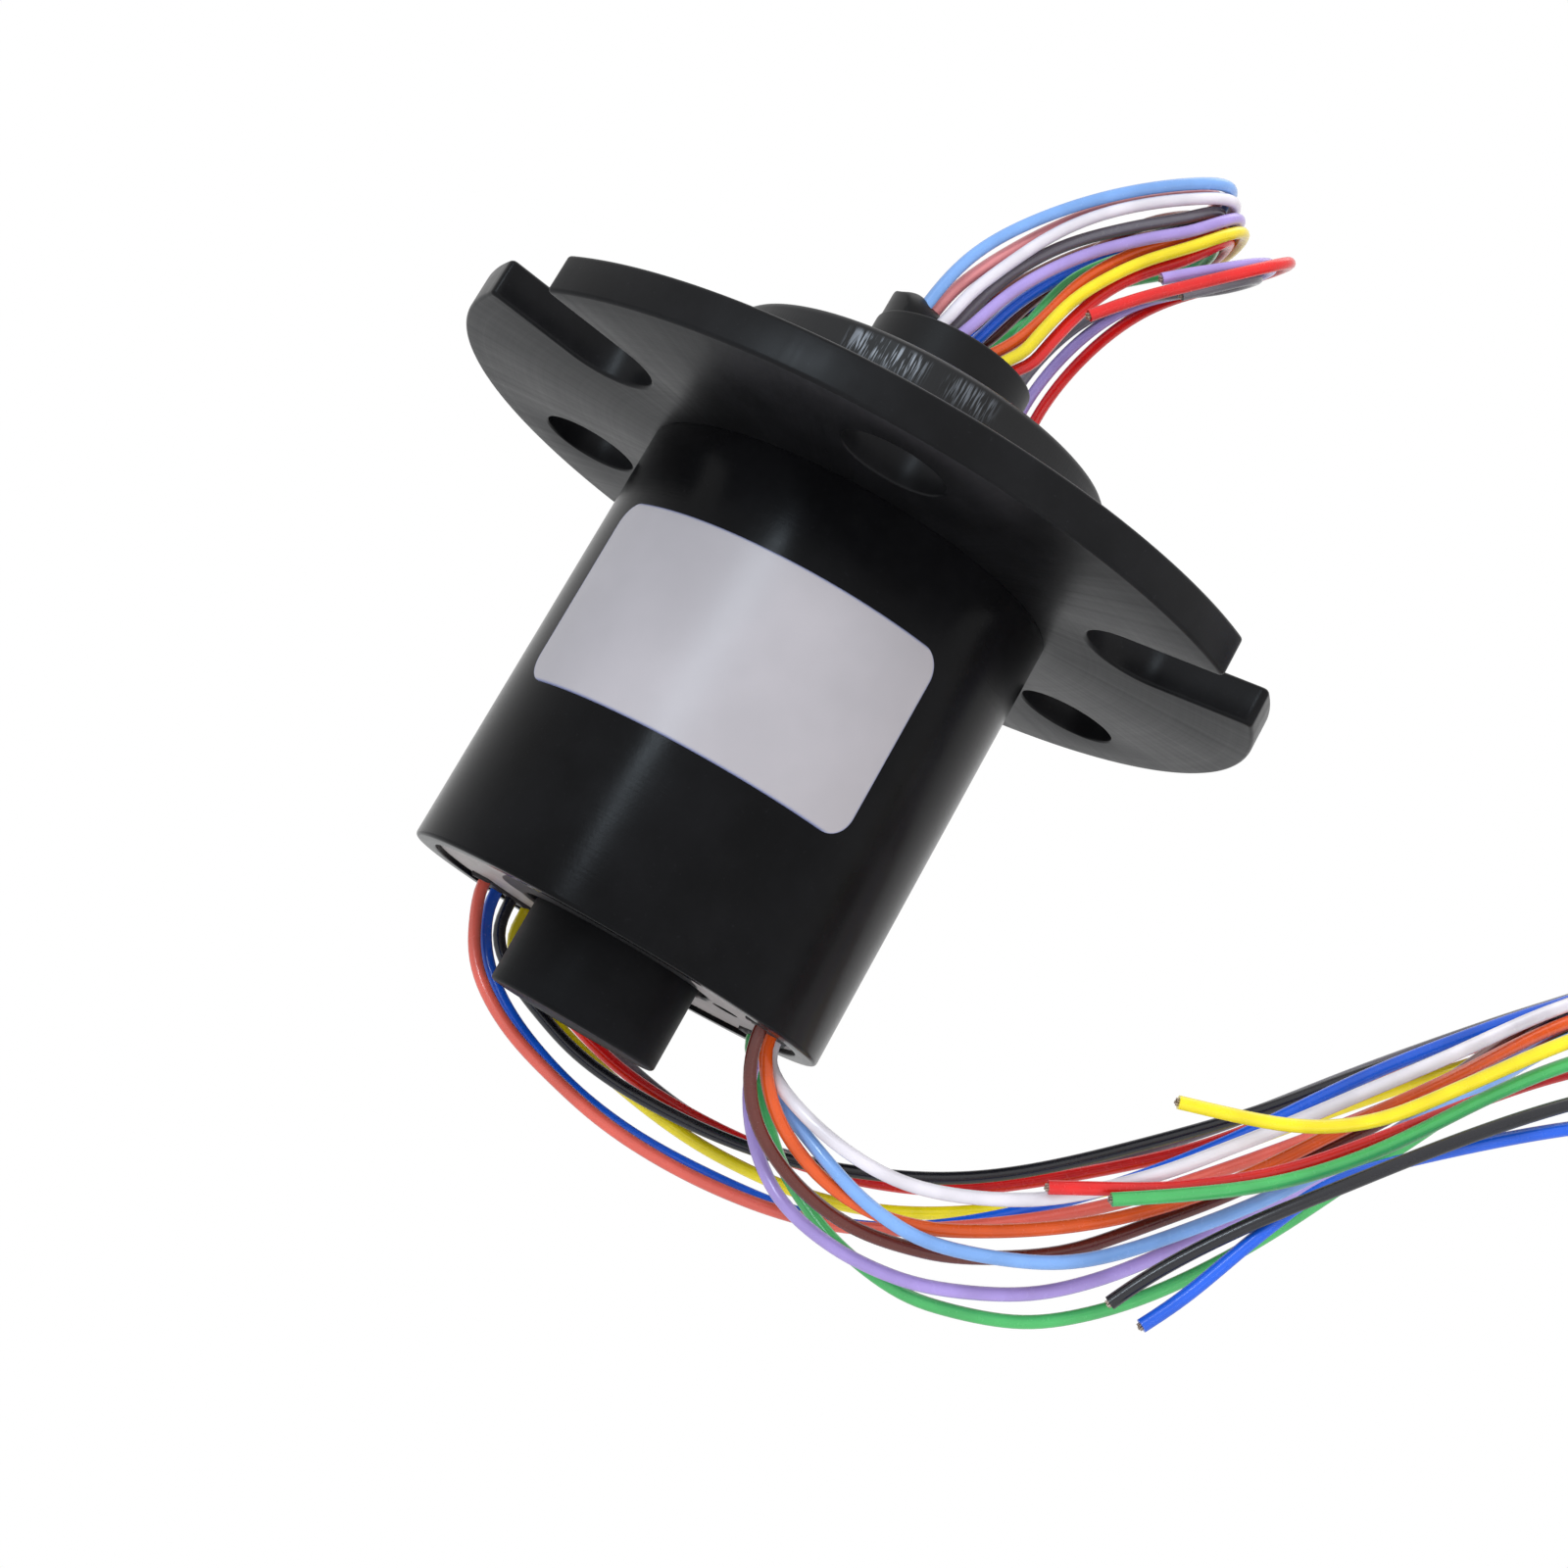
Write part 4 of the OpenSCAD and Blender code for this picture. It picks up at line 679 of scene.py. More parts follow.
def flat_face(loops, z):
    """The plane face between closed loops of (x, y) points at the height z, as triangles on the loops' points."""
    points = np.vstack(loops)
    starts = np.cumsum([0, *(len(loop) for loop in loops)])
    edges = [(s + k, s + (k + 1) % len(loop)) for s, loop in zip(starts, loops) for k in range(len(loop))]
    made = delaunay_2d_cdt([Vector(p) for p in points.tolist()], edges, [], 0, 1e-9)
    flat = np.array([tuple(p) for p in made[0]])
    faces = np.array(made[2])
    kept = faces[crossings(flat[faces].mean(1), loops)]
    return np.column_stack([flat, np.full(len(flat), z)]), kept.tolist()


def offset_loop(loop, distance):
    """A closed anticlockwise loop moved inwards by a distance, along the bisector of its two edges' normals."""
    edge = np.roll(loop, -1, 0) - loop
    normal = np.stack([-edge[:, 1], edge[:, 0]], 1) / np.linalg.norm(edge, axis=1)[:, None]
    both = normal + np.roll(normal, 1, 0)
    both /= np.linalg.norm(both, axis=1)[:, None]
    return loop + both * (distance / np.maximum((both * normal).sum(1), 0.5))[:, None]


def edge_profile(top, bottom, radius, steps=5):
    """Inset and height down a plate's edge: a quarter round, the straight edge and a quarter round."""
    u = np.linspace(0, np.pi / 2, steps)
    high = np.stack([radius * (1 - np.sin(u)), top - radius * (1 - np.cos(u))], 1)
    low = np.stack([radius * (1 - np.cos(u)), bottom + radius * (1 - np.sin(u))], 1)
    return np.vstack([high, low])


def edge_part(loop, profile, inwards, number=0):
    """A plate's edge: the loop moved in by each inset of the profile, at each height."""
    rows = [np.column_stack([offset_loop(loop, d * inwards), np.full(len(loop), z)]) for d, z in profile]
    return np.stack(rows), grid_faces(len(rows), len(loop), False, True), number


def circle(radius, count, x=0.0, y=0.0):
    """A closed anticlockwise loop (x + r cos t, y + r sin t)."""
    t = np.linspace(0, 2 * np.pi, count, endpoint=False)
    return np.stack([x + radius * np.cos(t), y + radius * np.sin(t)], 1)


def flange_outline(s):
    """The flange's plan: three arcs of its circle joined by slots, each slot two straight sides and a half circle.

    The corners at a slot's mouth are rounded by a short curve, as ease_corners makes them.
    """
    half = s["slot_w"] / 2
    mouth = math.asin(half / s["flange_r"])
    lip = math.cos(mouth) * s["flange_r"]
    pieces = []
    for k in range(3):
        turn = math.radians(-30 + 120 * k)
        back = np.linspace(np.pi / 2, 3 * np.pi / 2, 49)
        slot = np.column_stack([s["slot_reach"] + half * np.cos(back), half * np.sin(back)])
        u = np.linspace(0, 1, 7)[:, None]
        soft = 0.45
        corner = np.array([lip, half])
        eased = mouth + soft / s["flange_r"]
        on_arc = np.array([math.cos(eased), math.sin(eased)]) * s["flange_r"]
        on_side = corner - (soft, 0)
        side_up = ((1 - u) ** 2 * on_side + 2 * u * (1 - u) * corner + u ** 2 * on_arc)
        side_down = side_up[::-1] * (1, -1)
        straight = np.linspace(lip - soft, s["slot_reach"], 9)[1:-1]
        low = np.column_stack([straight, np.full(7, -half)])
        high = np.column_stack([straight[::-1], np.full(7, half)])
        t = np.linspace(eased, 2 * np.pi / 3 - mouth - soft / s["flange_r"], 90)[1:-1]
        arc = np.column_stack([np.cos(t), np.sin(t)]) * s["flange_r"]
        piece = np.vstack([side_down, low, slot[::-1], high, side_up, arc])
        c, n = math.cos(turn), math.sin(turn)
        pieces.append(piece @ np.array([[c, n], [-n, c]]))
    return np.vstack(pieces)


def arc_block(inner, outer, low, high, start, end, soft, count, rough=0.0, seed=0):
    """A block along an arc: a rounded section carried round from start to end degrees, its free face stirred
    by sums of sines, and both ends closed by the section itself."""
    section = ease_corners([(inner, low), (outer, low), (outer, high), (inner, high)], soft, 4)
    points = revolve(section, count, math.radians(start), math.radians(end - start))
    waves = np.random.default_rng(seed).uniform(0, 2 * np.pi, 6)
    t = np.linspace(0, (end - start) / 9, count)[:, None]
    stir = np.sin(5 * t + waves[0]) * np.cos(7 * section[None, :, 0] + waves[1]) + 0.5 * np.sin(13 * t + waves[2])
    free = np.clip((high - section[:, 1]) / (high - low) - 0.75, 0, 0.25) * 4
    points[..., 2] -= rough * stir * free[None]
    n = len(section)
    ends = [tuple(range(n)), tuple(range((count - 1) * n, count * n))]
    return points, [*grid_faces(count, n, False, True).tolist(), *ends]


def tube_faces(line, radius, sides):
    """A tube along a line: each point's circle in the plane of two vectors square to the line's direction."""
    line = np.asarray(line, float)
    t = np.gradient(line, axis=0)
    t /= np.linalg.norm(t, axis=1)[:, None]
    guide = np.array([0.31, 0.52, 0.79])
    n = np.cross(t, guide)
    n /= np.linalg.norm(n, axis=1)[:, None]
    b = np.cross(t, n)
    a = np.linspace(0, 2 * np.pi, sides, endpoint=False)[None, :, None]
    points = line[:, None] + radius * (np.cos(a) * n[:, None] + np.sin(a) * b[:, None])
    count = len(line)
    caps = [tuple(range(sides)), tuple(range((count - 1) * sides, count * sides))]
    return points, [*grid_faces(count, sides, False, True).tolist(), *caps]


# ---------------------------------------------------------------- the leads


def make_lead(group, lead, s):
    """One lead as a bevelled curve; returns its length in metres."""
    name = lead[0]
    line = whole_lead(group, lead, s["stub_top"], SLOT_R, -s["housing_len"] + PLATE_INSET - LEAD_INSET)
    curve = bpy.data.curves.new(f"{group}_wire_{name}", "CURVE")
    curve.dimensions = "3D"
    curve.bevel_depth = s["lead_d"] / 2 * MM
    curve.bevel_resolution = 4
    curve.use_fill_caps = True
    spline = curve.splines.new("POLY")
    spline.points.add(len(line) - 1)
    spline.points.foreach_set("co", np.column_stack([line * MM, np.ones(len(line))]).ravel())
    spline.use_smooth = True
    tint = "salmon" if (group, name) == ("stator", "pink") else name
    curve.materials.append(lead_finish(f"lead_{name}_{group}", colour(tint)))
    made = bpy.data.objects.new(f"{group}_wire_{name}", curve)
    bpy.context.scene.collection.objects.link(made)
    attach(made, group)
    nodes = [f"{group}_lead_{name}"] + ([f"{group}_hank"] if name == "black" else [])
    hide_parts(*nodes)
    length = float(np.linalg.norm(np.diff(line, axis=0), axis=1).sum()) * MM
    ends = ROTOR_ENDS if group == "rotor" else STATOR_ENDS
    tips = [make_tip(group, name, line)] if name in ends else []
    s["lead_d"] * MM
    return length


def make_tip(group, name, line):
    """Cut end of a returned lead: seven tinned strands, one in the middle and six round it."""
    ahead = line[-1] - line[-3]
    ahead /= np.linalg.norm(ahead)
    side = np.cross(ahead, (0.2, 0.9, 0.3))
    side /= np.linalg.norm(side)
    over = np.cross(ahead, side)
    around = np.linspace(0, 2 * np.pi, 6, endpoint=False)[:, None]
    feet = np.vstack([np.zeros((1, 3)), 0.125 * (np.cos(around) * side + np.sin(around) * over)])
    reach = np.array([0.17, 0.12, 0.15, 0.1, 0.14, 0.11, 0.16])
    parts = []
    for foot, out in zip(feet, reach):
        start = line[-1] + foot
        steps = np.array([-0.25, 0.0, 0.6 * out, out])[:, None]
        parts.append((*tube_faces(start + steps * ahead + foot * 0.12 * np.clip(steps, 0, 1), 0.06, 8), 0))
    return make_piece(f"{group}_strands_{name}", parts, group, [], [strand_metal()])


def strand_metal():
    """The strands' metal, made once and shared."""
    made = bpy.data.materials.get("tinned_strands")
    return made or ringed_metal("tinned_strands", (0.42, 0.34, 0.28, 1.0), 0.4)


class SLIPRING_OT_leads(bpy.types.Operator):
    """Lays the twelve leads of the rotor and the twelve of the stator along their routes"""

    bl_idname = "slip_ring.leads"
    bl_label = "Leads"

    def execute(self, context):
        s = sizes()
        for group, leads in (("rotor", ROTOR_LEADS), ("stator", STATOR_LEADS)):
            for lead in leads:
                length = make_lead(group, lead, s)
                print(f"{group} {lead[0]} lead {length * 1000:.0f} mm")
        return {"FINISHED"}


class SLIPRING_OT_ties(bpy.types.Operator):
    """Straps the two hanks with a tie each"""

    bl_idname = "slip_ring.ties"
    bl_label = "Hank ties"

    def execute(self, context):
        finish = grainy("tie_nylon", (0.02, 0.02, 0.022, 1.0), 0.42, 6.0, 0.01, 0.35)
        for group in ("rotor", "stator"):
            turns = rotor_hank if group == "rotor" else stator_hank
            line = np.vstack([even_steps(turns(a, b), 0.3) for a in range(4) for b in range(3)])
            make_tie(group, line, 1 if group == "rotor" else 2, context.scene.slip_ring_sizes.lead_d / MM, finish)
        return {"FINISHED"}


def make_tie(group, line, run, lead_d, finish):
    """A flat strap round the hank: a rounded rectangle |x|^p + |y|^p = 1 fitted to the two layers of leads under it,
    leaned over as far as the layers are shifted, and given its width along the run."""
    low, high = (np.array(corner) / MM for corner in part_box(f"{group}_tie"))
    across, deep = (0, 2) if group == "rotor" else (1, 0)
    width, thick, middle = high[run] - low[run], 0.42, (low + high)[run] / 2
    under = line[np.abs(line[:, run] - middle) < width / 2]
    centre = (under[:, deep].max() + under[:, deep].min()) / 2
    layers = [under[under[:, deep] > centre], under[under[:, deep] <= centre]]
    means = [(layer[:, across].max() + layer[:, across].min()) / 2 for layer in layers]
    half = max(np.ptp(layer[:, across]) for layer in layers) / 2 + lead_d / 2 + thick
    tall = np.ptp(under[:, deep]) / 2 + lead_d / 2 + thick
    t = np.linspace(0, 2 * np.pi, 129)[:-1]
    power = 0.3
    x = np.sign(np.cos(t)) * np.abs(np.cos(t)) ** power
    y = np.sign(np.sin(t)) * np.abs(np.sin(t)) ** power
    rows = []
    for depth, along in ease_corners([(0, -0.5), (1, -0.5), (1, 0.5), (0, 0.5)], 0.12, 4):
        ring = np.zeros((len(t), 3))
        ring[:, deep] = centre + y * (tall - depth * thick)
        ring[:, across] = sum(means) / 2 + y * (means[0] - means[1]) / 2 + x * (half - depth * thick)
        ring[:, run] = middle + along * width
        rows.append(ring)
    parts = [(np.stack(rows), grid_faces(len(rows), len(t), True, True), 0)]
    make_piece(f"{group}_strap", parts, group, [f"{group}_tie"], [finish])


# ---------------------------------------------------------------- housing and flange


class SLIPRING_OT_shell(bpy.types.Operator):
    """Turns the black shell, with its wall, its softened rim and the step that holds the end plate"""

    bl_idname = "slip_ring.shell"
    bl_label = "Shell"

    def execute(self, context):
        s = sizes()
        rim, out, wall = -s["housing_len"], s["housing_r"], s["shell_wall"]
        seat, seat_top = out - wall + 0.3, rim + PLATE_INSET + PLATE_T
        corners = [(out - wall, 0), (out, 0), (out, rim), (seat, rim), (seat, seat_top), (out - wall, seat_top)]
        profile = ease_corners(corners, [0.02, 0.02, 0.22, 0.08, 0.03, 0.03])
        finish = turned_black("shell_black", colour("shell"), 0.225, 0.08, 6.0, 0.06)
        wall_part = ring_part(profile, 0, 320)
        make_piece("shell_skin", [wall_part], "stator", ["housing_shell"], [finish])
        return {"FINISHED"}


class SLIPRING_OT_flange(bpy.types.Operator):
    """Cuts the flange with its slots and holes, and turns the boss and the spigot in one with it"""

    bl_idname = "slip_ring.flange"
    bl_label = "Flange and boss"

    def execute(self, context):
        s = sizes()
        top, soft, count = s["flange_t"], 0.2, 256
        outline = flange_outline(s)
        edge = edge_profile(top, 0.0, soft)
        parts = [edge_part(outline, edge, 1)]
        holes = []
        for k in range(3):
            turn = math.radians(-90 + 120 * k)
            hole = circle(s["hole_d"] / 2, 72, s["slot_reach"] * math.cos(turn), s["slot_reach"] * math.sin(turn))
            parts.append(edge_part(hole, edge_profile(top, 0.0, 0.12), -1))
            holes.append(offset_loop(hole, -0.12))
        foot, spigot = s["boss_r"] + 0.12, 9.58
        skirt = offset_loop(outline, soft)
        parts.append((*flat_face([skirt, *holes, circle(foot, count)], top), 0))
        parts.append((*flat_face([skirt, *holes, circle(spigot, count)], 0.0), 0))
        boss, lip, high = s["boss_r"], s["shield_r"] + 0.35, s["boss_top"]
        inner = np.array([
            (spigot, 0), (spigot, -1.5), (spigot - 1, -1.5), (spigot - 1, 0), (7.52, 0), (7.52, high - 0.9),
            (lip, high - 0.9), (lip, high - 0.08), (lip + 0.08, high),
        ])
        u = np.linspace(0, np.pi / 2, 6)
        rim = np.stack([boss - 0.4 + 0.4 * np.sin(u), high - 0.4 + 0.4 * np.cos(u)], 1)
        fillet = np.stack([foot - 0.12 * np.sin(u), top + 0.12 * (1 - np.cos(u))], 1)[::-1]
        profile = np.vstack([inner, rim, fillet])
        parts.append((revolve(profile, count), grid_faces(count, len(profile), True, False), 1))
        black = turned_black("flange_black", colour("flange"), 0.34, 0.13, 2.6, 0.22)
        finish = boss_black("boss_black", colour("flange"))
        make_piece("flange_skin", parts, "stator", ["mounting_flange"], [black, finish])
        return {"FINISHED"}


class SLIPRING_OT_end_plate(bpy.types.Operator):
    """Makes the pale end plate with its slots and blind hole, and the compound round the leads"""

    bl_idname = "slip_ring.end_plate"
    bl_label = "End plate and seals"

    def execute(self, context):
        s = sizes()
        low = -s["housing_len"] + PLATE_INSET
        high, outer, inner, hub = low + PLATE_T, 9.88, 5.0, 6.9
        slots = []
        for start, end in LEAD_SLOTS.values():
            a = np.radians(np.linspace(start, end, 60))
            ring = np.stack([np.cos(a), np.sin(a)], 1)
            slots.append(np.vstack([ring * (SLOT_R + SLOT_HALF), ring[::-1] * (SLOT_R - SLOT_HALF)]))
        hole = circle(0.7, 40, 6.0, 0.0)
        parts = []
        rim, bore = circle(outer, 256), circle(inner, 192)
        parts.append((*flat_face([offset_loop(rim, 0.1), *slots, hole, offset_loop(bore, -0.08)], low), 0))
        parts.append((*flat_face([rim, *slots, circle(hub, 192)], high), 0))
        for slot in slots:
            parts.append((np.stack([np.column_stack([slot, np.full(len(slot), z)]) for z in (low, high)]),
                          grid_faces(2, len(slot), False, True), 0))
        floor = offset_loop(hole, 0.25)
        levels = ((hole, low), (hole, low + 0.5), (floor, low + 0.6))
        pit = np.stack([np.column_stack([loop, np.full(40, z)]) for loop, z in levels])
        parts.append((pit, [*grid_faces(3, 40, False, True).tolist(), tuple(range(80, 120))], 1))
        edge = np.array([(outer - 0.1, low), (outer - 0.03, low + 0.03), (outer, low + 0.1), (outer, high)])
        parts.append((revolve(edge, 256), grid_faces(256, 4, True, False), 0))
        seat = np.array([
            (inner + 0.08, low), (inner, low + 0.08), (inner, low + 0.9), (6.02, low + 0.9), (6.02, low + 4.4),
            (hub, low + 4.4), (hub, high),
        ])
        parts.append((revolve(seat, 192), grid_faces(192, 7, True, False), 0))
        pale = plate_finish(colour("plate"))
        # painted shade: the blind hole's walls and floor are coloured near-black to stand for the shade inside it
        dark = grainy("hole_dark", (0.012, 0.012, 0.013, 1.0), 0.6, 6.0, 0.01)
        make_piece("plate_skin", parts, "stator", ["end_plate"], [pale, dark])
        rubber = grainy("seal_dark", (0.03, 0.026, 0.027, 1.0), 0.5, 3.0, 0.03)
        for k, (side, (start, end)) in enumerate(LEAD_SLOTS.items()):
            block = arc_block(SLOT_R - SEAL_HALF, SLOT_R + SEAL_HALF, low - SEAL_PROUD, high, start + 0.2, end - 0.2,
                              0.12, 160, 0.05, k)
            make_piece(f"seal_{side}", [(*block, 0)], "stator", [f"lead_seal_{side}"], [rubber])
        return {"FINISHED"}


class SLIPRING_OT_label(bpy.types.Operator):
    """Wraps the bare label round the shell"""

    bl_idname = "slip_ring.label"
    bl_label = "Label"

    def execute(self, context):
        """Rows v down the label and columns u across it; a row near a corner is shorter by the corner's round:
        half width = w/2 - (c - sqrt(c^2 - (c - d)^2)), where d is the row's distance from the edge."""
        s = sizes()
        width, height, corner, film = s["label_w"], s["label_h"], 1.3, 0.08
        e = corner * (1 - np.cos(np.linspace(0, np.pi / 2, 14)))
        v = np.concatenate([e, np.linspace(corner, height - corner, 30)[1:-1], height - e[::-1]])
        d = np.minimum(v, height - v)
        round_off = corner - np.sqrt(np.maximum(corner ** 2 - (corner - np.minimum(d, corner)) ** 2, 0))
        cut = np.where(d < corner, round_off, 0)
        half = width / 2 - cut
        u = np.sin(np.linspace(-np.pi / 2, np.pi / 2, 121))
        across = half[:, None] * u[None, :]
        down = np.repeat(v[:, None], len(u), 1)
        rim = np.minimum(d[:, None], half[:, None] - np.abs(across))
        turn = math.radians(LABEL_TURN) + across / s["housing_r"]
        front_r = s["housing_r"] + 0.01 + film * np.clip(rim / 0.05, 0, 1) ** 0.5
        z = -s["label_drop"] - s["label_h"] + down
        front = np.stack([front_r * np.cos(turn), front_r * np.sin(turn), z], -1)
        back_r = s["housing_r"] + 0.01
        back = np.stack([back_r * np.cos(turn), back_r * np.sin(turn), z], -1)
        faces = grid_faces(len(v), len(u))
        finish = label_finish(colour("label"))
        parts = [(front, faces, 0), (back, faces[:, ::-1], 0)]
        make_piece("label_film", parts, "stator", ["label_skin"], [finish],
                   attribute=("rim", np.concatenate([rim.ravel(), rim.ravel()])))
        return {"FINISHED"}


# ---------------------------------------------------------------- rotor


class SLIPRING_OT_rotor(bpy.types.Operator):
    """Turns the shaft with its stub and shield, its end cap, and pours the potting into its mouth"""

    bl_idname = "slip_ring.rotor"
    bl_label = "Shaft, cap and potting"

    def execute(self, context):
        s = sizes()
        stub, top, boss, shield = s["stub_r"], s["stub_top"], s["boss_top"], s["shield_r"]
        corners = [
            (3.4, top), (stub, top), (stub, boss), (shield, boss), (shield, boss - 0.75), (5.4, boss - 0.75),
            (5.4, boss - 0.9), (4.98, boss - 0.9), (4.98, boss - 4.9), (4.9, boss - 4.9), (4.9, -17.9), (4.5, -17.9),
            (4.5, -18.4), (4.9, -18.4), (3.98, -18.35), (3.98, -21.85), (2.48, -21.85), (2.48, -25.98),
            (0.02, -25.98), (0.02, -16.85), (3.4, -16.85),
        ]
        soft = [0.1, 0.2, 0.1, 0.12] + [0.02] * (len(corners) - 4)
        finish = turned_black("rotor_black", colour("rotor"), 0.46, 0.2, 5.0, 0.06)
        shaft = ring_part(ease_corners(corners, soft), 0, 224)
        make_piece("shaft_skin", [shaft], "rotor", ["rotor_shaft"], [finish])
        rim, low, r = -s["housing_len"], -s["housing_len"] - s["cap_len"], s["cap_r"]
        u = np.linspace(0, np.pi / 2, 6)
        cap = np.vstack([
            [(0, low)], np.stack([r - 0.22 + 0.22 * np.sin(u), low + 0.22 - 0.22 * np.cos(u)], 1),
            [(r, -21.9), (r - 0.05, -21.85), (2.5, -21.85), (2.5, low + 1), (0, low + 1)],
        ])
        part = (revolve(cap, 224), grid_faces(224, len(cap), True, False), 0)
        face = turned_black("cap_black", colour("rotor"), 0.5, 0.08, 4.0, 0.12)
        make_piece("cap_skin", [part], "rotor", ["shaft_cap"], [face])
        self.pour(s)
        return {"FINISHED"}

    def pour(self, s):
        """Potting: a disc of polar points whose height is a low meniscus plus a rounded lump at one side,
        h = m (r/R)^4 + L exp(-(d/w)^2), d being the distance from the lump's middle, closed underneath."""
        top, rim = s["stub_top"], 3.38
        q = np.linspace(0, 1, 40)
        t = np.linspace(0, 2 * np.pi, 120, endpoint=False)
        r = rim * q
        x, y = np.outer(np.cos(t), r), np.outer(np.sin(t), r)
        wave = 0.035 * np.sin(2.3 * x + 1.1) * np.cos(2.9 * y - 0.4) + 0.02 * np.sin(6.1 * x - 4.3 * y)
        z = top - 0.05 + 0.12 * q[None, :] ** 4 + wave * (1 - q[None, :] ** 6)
        upper = np.stack([x, y, z], -1)
        wall = np.stack([rim * np.cos(t), rim * np.sin(t), np.full_like(t, top - 3.0)], -1)[:, None]
        centre = np.repeat(np.array([[[0.0, 0.0, top - 3.0]]]), len(t), 0)
        body = np.concatenate([upper, wall, centre], 1)
        parts = [(body, grid_faces(len(t), body.shape[1], True, False), 0)]
        parts.append((*self.lump(s), 0))
        finish = turned_black("potting_black", colour("potting"), 0.4, 0.16, 1.2)
        make_piece("potting_pour", parts, "rotor", ["rotor_potting"], [finish])

    def lump(self, s):
        """The lump that the pour left at the stub's rim: a blunt dome h (1 - q^4)^0.6 over q from 0 to 1, stirred by
        sines of the angle and cut off by the stub's side."""
        reach, high, turn, middle = 2.1, 1.45, math.radians(LUMP_TURN), 3.05
        q = np.linspace(0, 1, 30)[None, :]
        t = np.linspace(0, 2 * np.pi, 80, endpoint=False)[:, None]
        stir = 1 + 0.06 * np.sin(3 * t + 0.7) + 0.04 * np.cos(5 * t + 1.9)
        x = reach * q * stir * np.cos(t) + middle * math.cos(turn)
        y = reach * q * stir * np.sin(t) + middle * math.sin(turn)
        z = high * (1 - q ** 4) ** 0.6 + 0.09 * np.sin(2.6 * x) * np.cos(2.2 * y + 0.6) * (1 - q ** 2)
        pull = np.minimum(1.0, (s["stub_r"] - 0.1) / np.maximum(np.hypot(x, y), 1e-9))
        points = np.stack([x * pull, y * pull, s["stub_top"] + z], -1)
        base = points[:, -1:] * (1, 1, 0) + (0, 0, s["stub_top"] - 0.06)
        points = np.concatenate([points, base], 1)
        faces = grid_faces(len(t), 31, True, False).tolist()
        faces.append(tuple(k * 31 + 30 for k in range(len(t))))
        return points, faces


class SLIPRING_OT_inner(bpy.types.Operator):
    """Gives the parts inside their finishes: rings, barriers, brush blocks and wires, clip and bearings"""

    bl_idname = "slip_ring.inner"
    bl_label = "Parts inside"

    def execute(self, context):
        steel = ringed_metal("bearing_ground", (0.58, 0.58, 0.6, 1.0), 0.26)
        finishes = {
            "contact_rings": ringed_metal("ring_gold", (0.82, 0.58, 0.2, 1.0), 0.2),
            "ring_barriers": grainy("barrier_cream", (0.62, 0.58, 0.45, 1.0), 0.45, 4.0, 0.01),
            "stack_clip": ringed_metal("clip_spring", (0.3, 0.3, 0.32, 1.0), 0.35),
            "brush_block_left": grainy("block_board", (0.03, 0.1, 0.055, 1.0), 0.5, 5.0, 0.015),
            "brush_wires_left": ringed_metal("brush_gold", (0.83, 0.6, 0.22, 1.0), 0.22),
            "upper_ball_set": ringed_metal("ball_chrome", (0.66, 0.64, 0.6, 1.0), 0.15),
        }
        for name in ("upper_outer_race", "upper_inner_race", "lower_outer_race", "lower_inner_race"):
            finishes[name] = steel
        finishes["brush_block_right"] = finishes["brush_block_left"]
        finishes["brush_wires_right"] = finishes["brush_wires_left"]
        finishes["lower_ball_set"] = finishes["upper_ball_set"]
        for name, finish in finishes.items():
            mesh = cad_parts[name].data
            mesh.materials.clear()
            mesh.materials.append(finish)
        return {"FINISHED"}


# ---------------------------------------------------------------- camera, lights and floor


def turned_to(forward, up):
    """Rotation whose -Z looks along forward and whose Y is up made square to it."""
    back = -Vector(forward).normalized()
    right = Vector(up).cross(back).normalized()
    over = back.cross(right)
    return Matrix((right, over, back)).transposed()


class SLIPRING_OT_camera(bpy.types.Operator):
    """Stands the camera in front of the slip ring"""

    bl_idname = "slip_ring.camera"
    bl_label = "Camera"

    def execute(self, context):
        lens = bpy.data.cameras.new("view")
        lens.sensor_width, lens.lens = 36.0, 58.66
        lens.shift_x, lens.shift_y = 0.0511, -0.1565
        lens.clip_start, lens.clip_end = 0.005, 20.0
        camera = bpy.data.objects.new("view", lens)
        turn = turned_to((-0.04964, 0.97418, 0.22025), (-0.49704, -0.21537, 0.84057))
        camera.matrix_world = Matrix.Translation((0, -0.123433, -0.031174)) @ turn.to_4x4()
        context.scene.collection.objects.link(camera)
        context.scene.camera = camera
        return {"FINISHED"}


def add_lamp(name, place, aim, size, power, tint=(1.0, 1.0, 1.0), mirrored=True):
    """A rectangle of light turned to its aim; one that is not mirrored lights surfaces but shows in no gloss."""
    light = bpy.data.lights.new(name, "AREA")
    light.shape, light.size, light.size_y, light.energy, light.color = "RECTANGLE", *size, power, tint
    lamp = bpy.data.objects.new(name, light)
    lamp.visible_glossy = mirrored
    direction = Vector(aim) - Vector(place)
    lamp.matrix_world = Matrix.Translation(place) @ turned_to(direction, (0.3, 0.1, 0.95)).to_4x4()
    bpy.context.scene.collection.objects.link(lamp)


FLOOR_HALF, FLOOR_Z = 0.9, -0.09


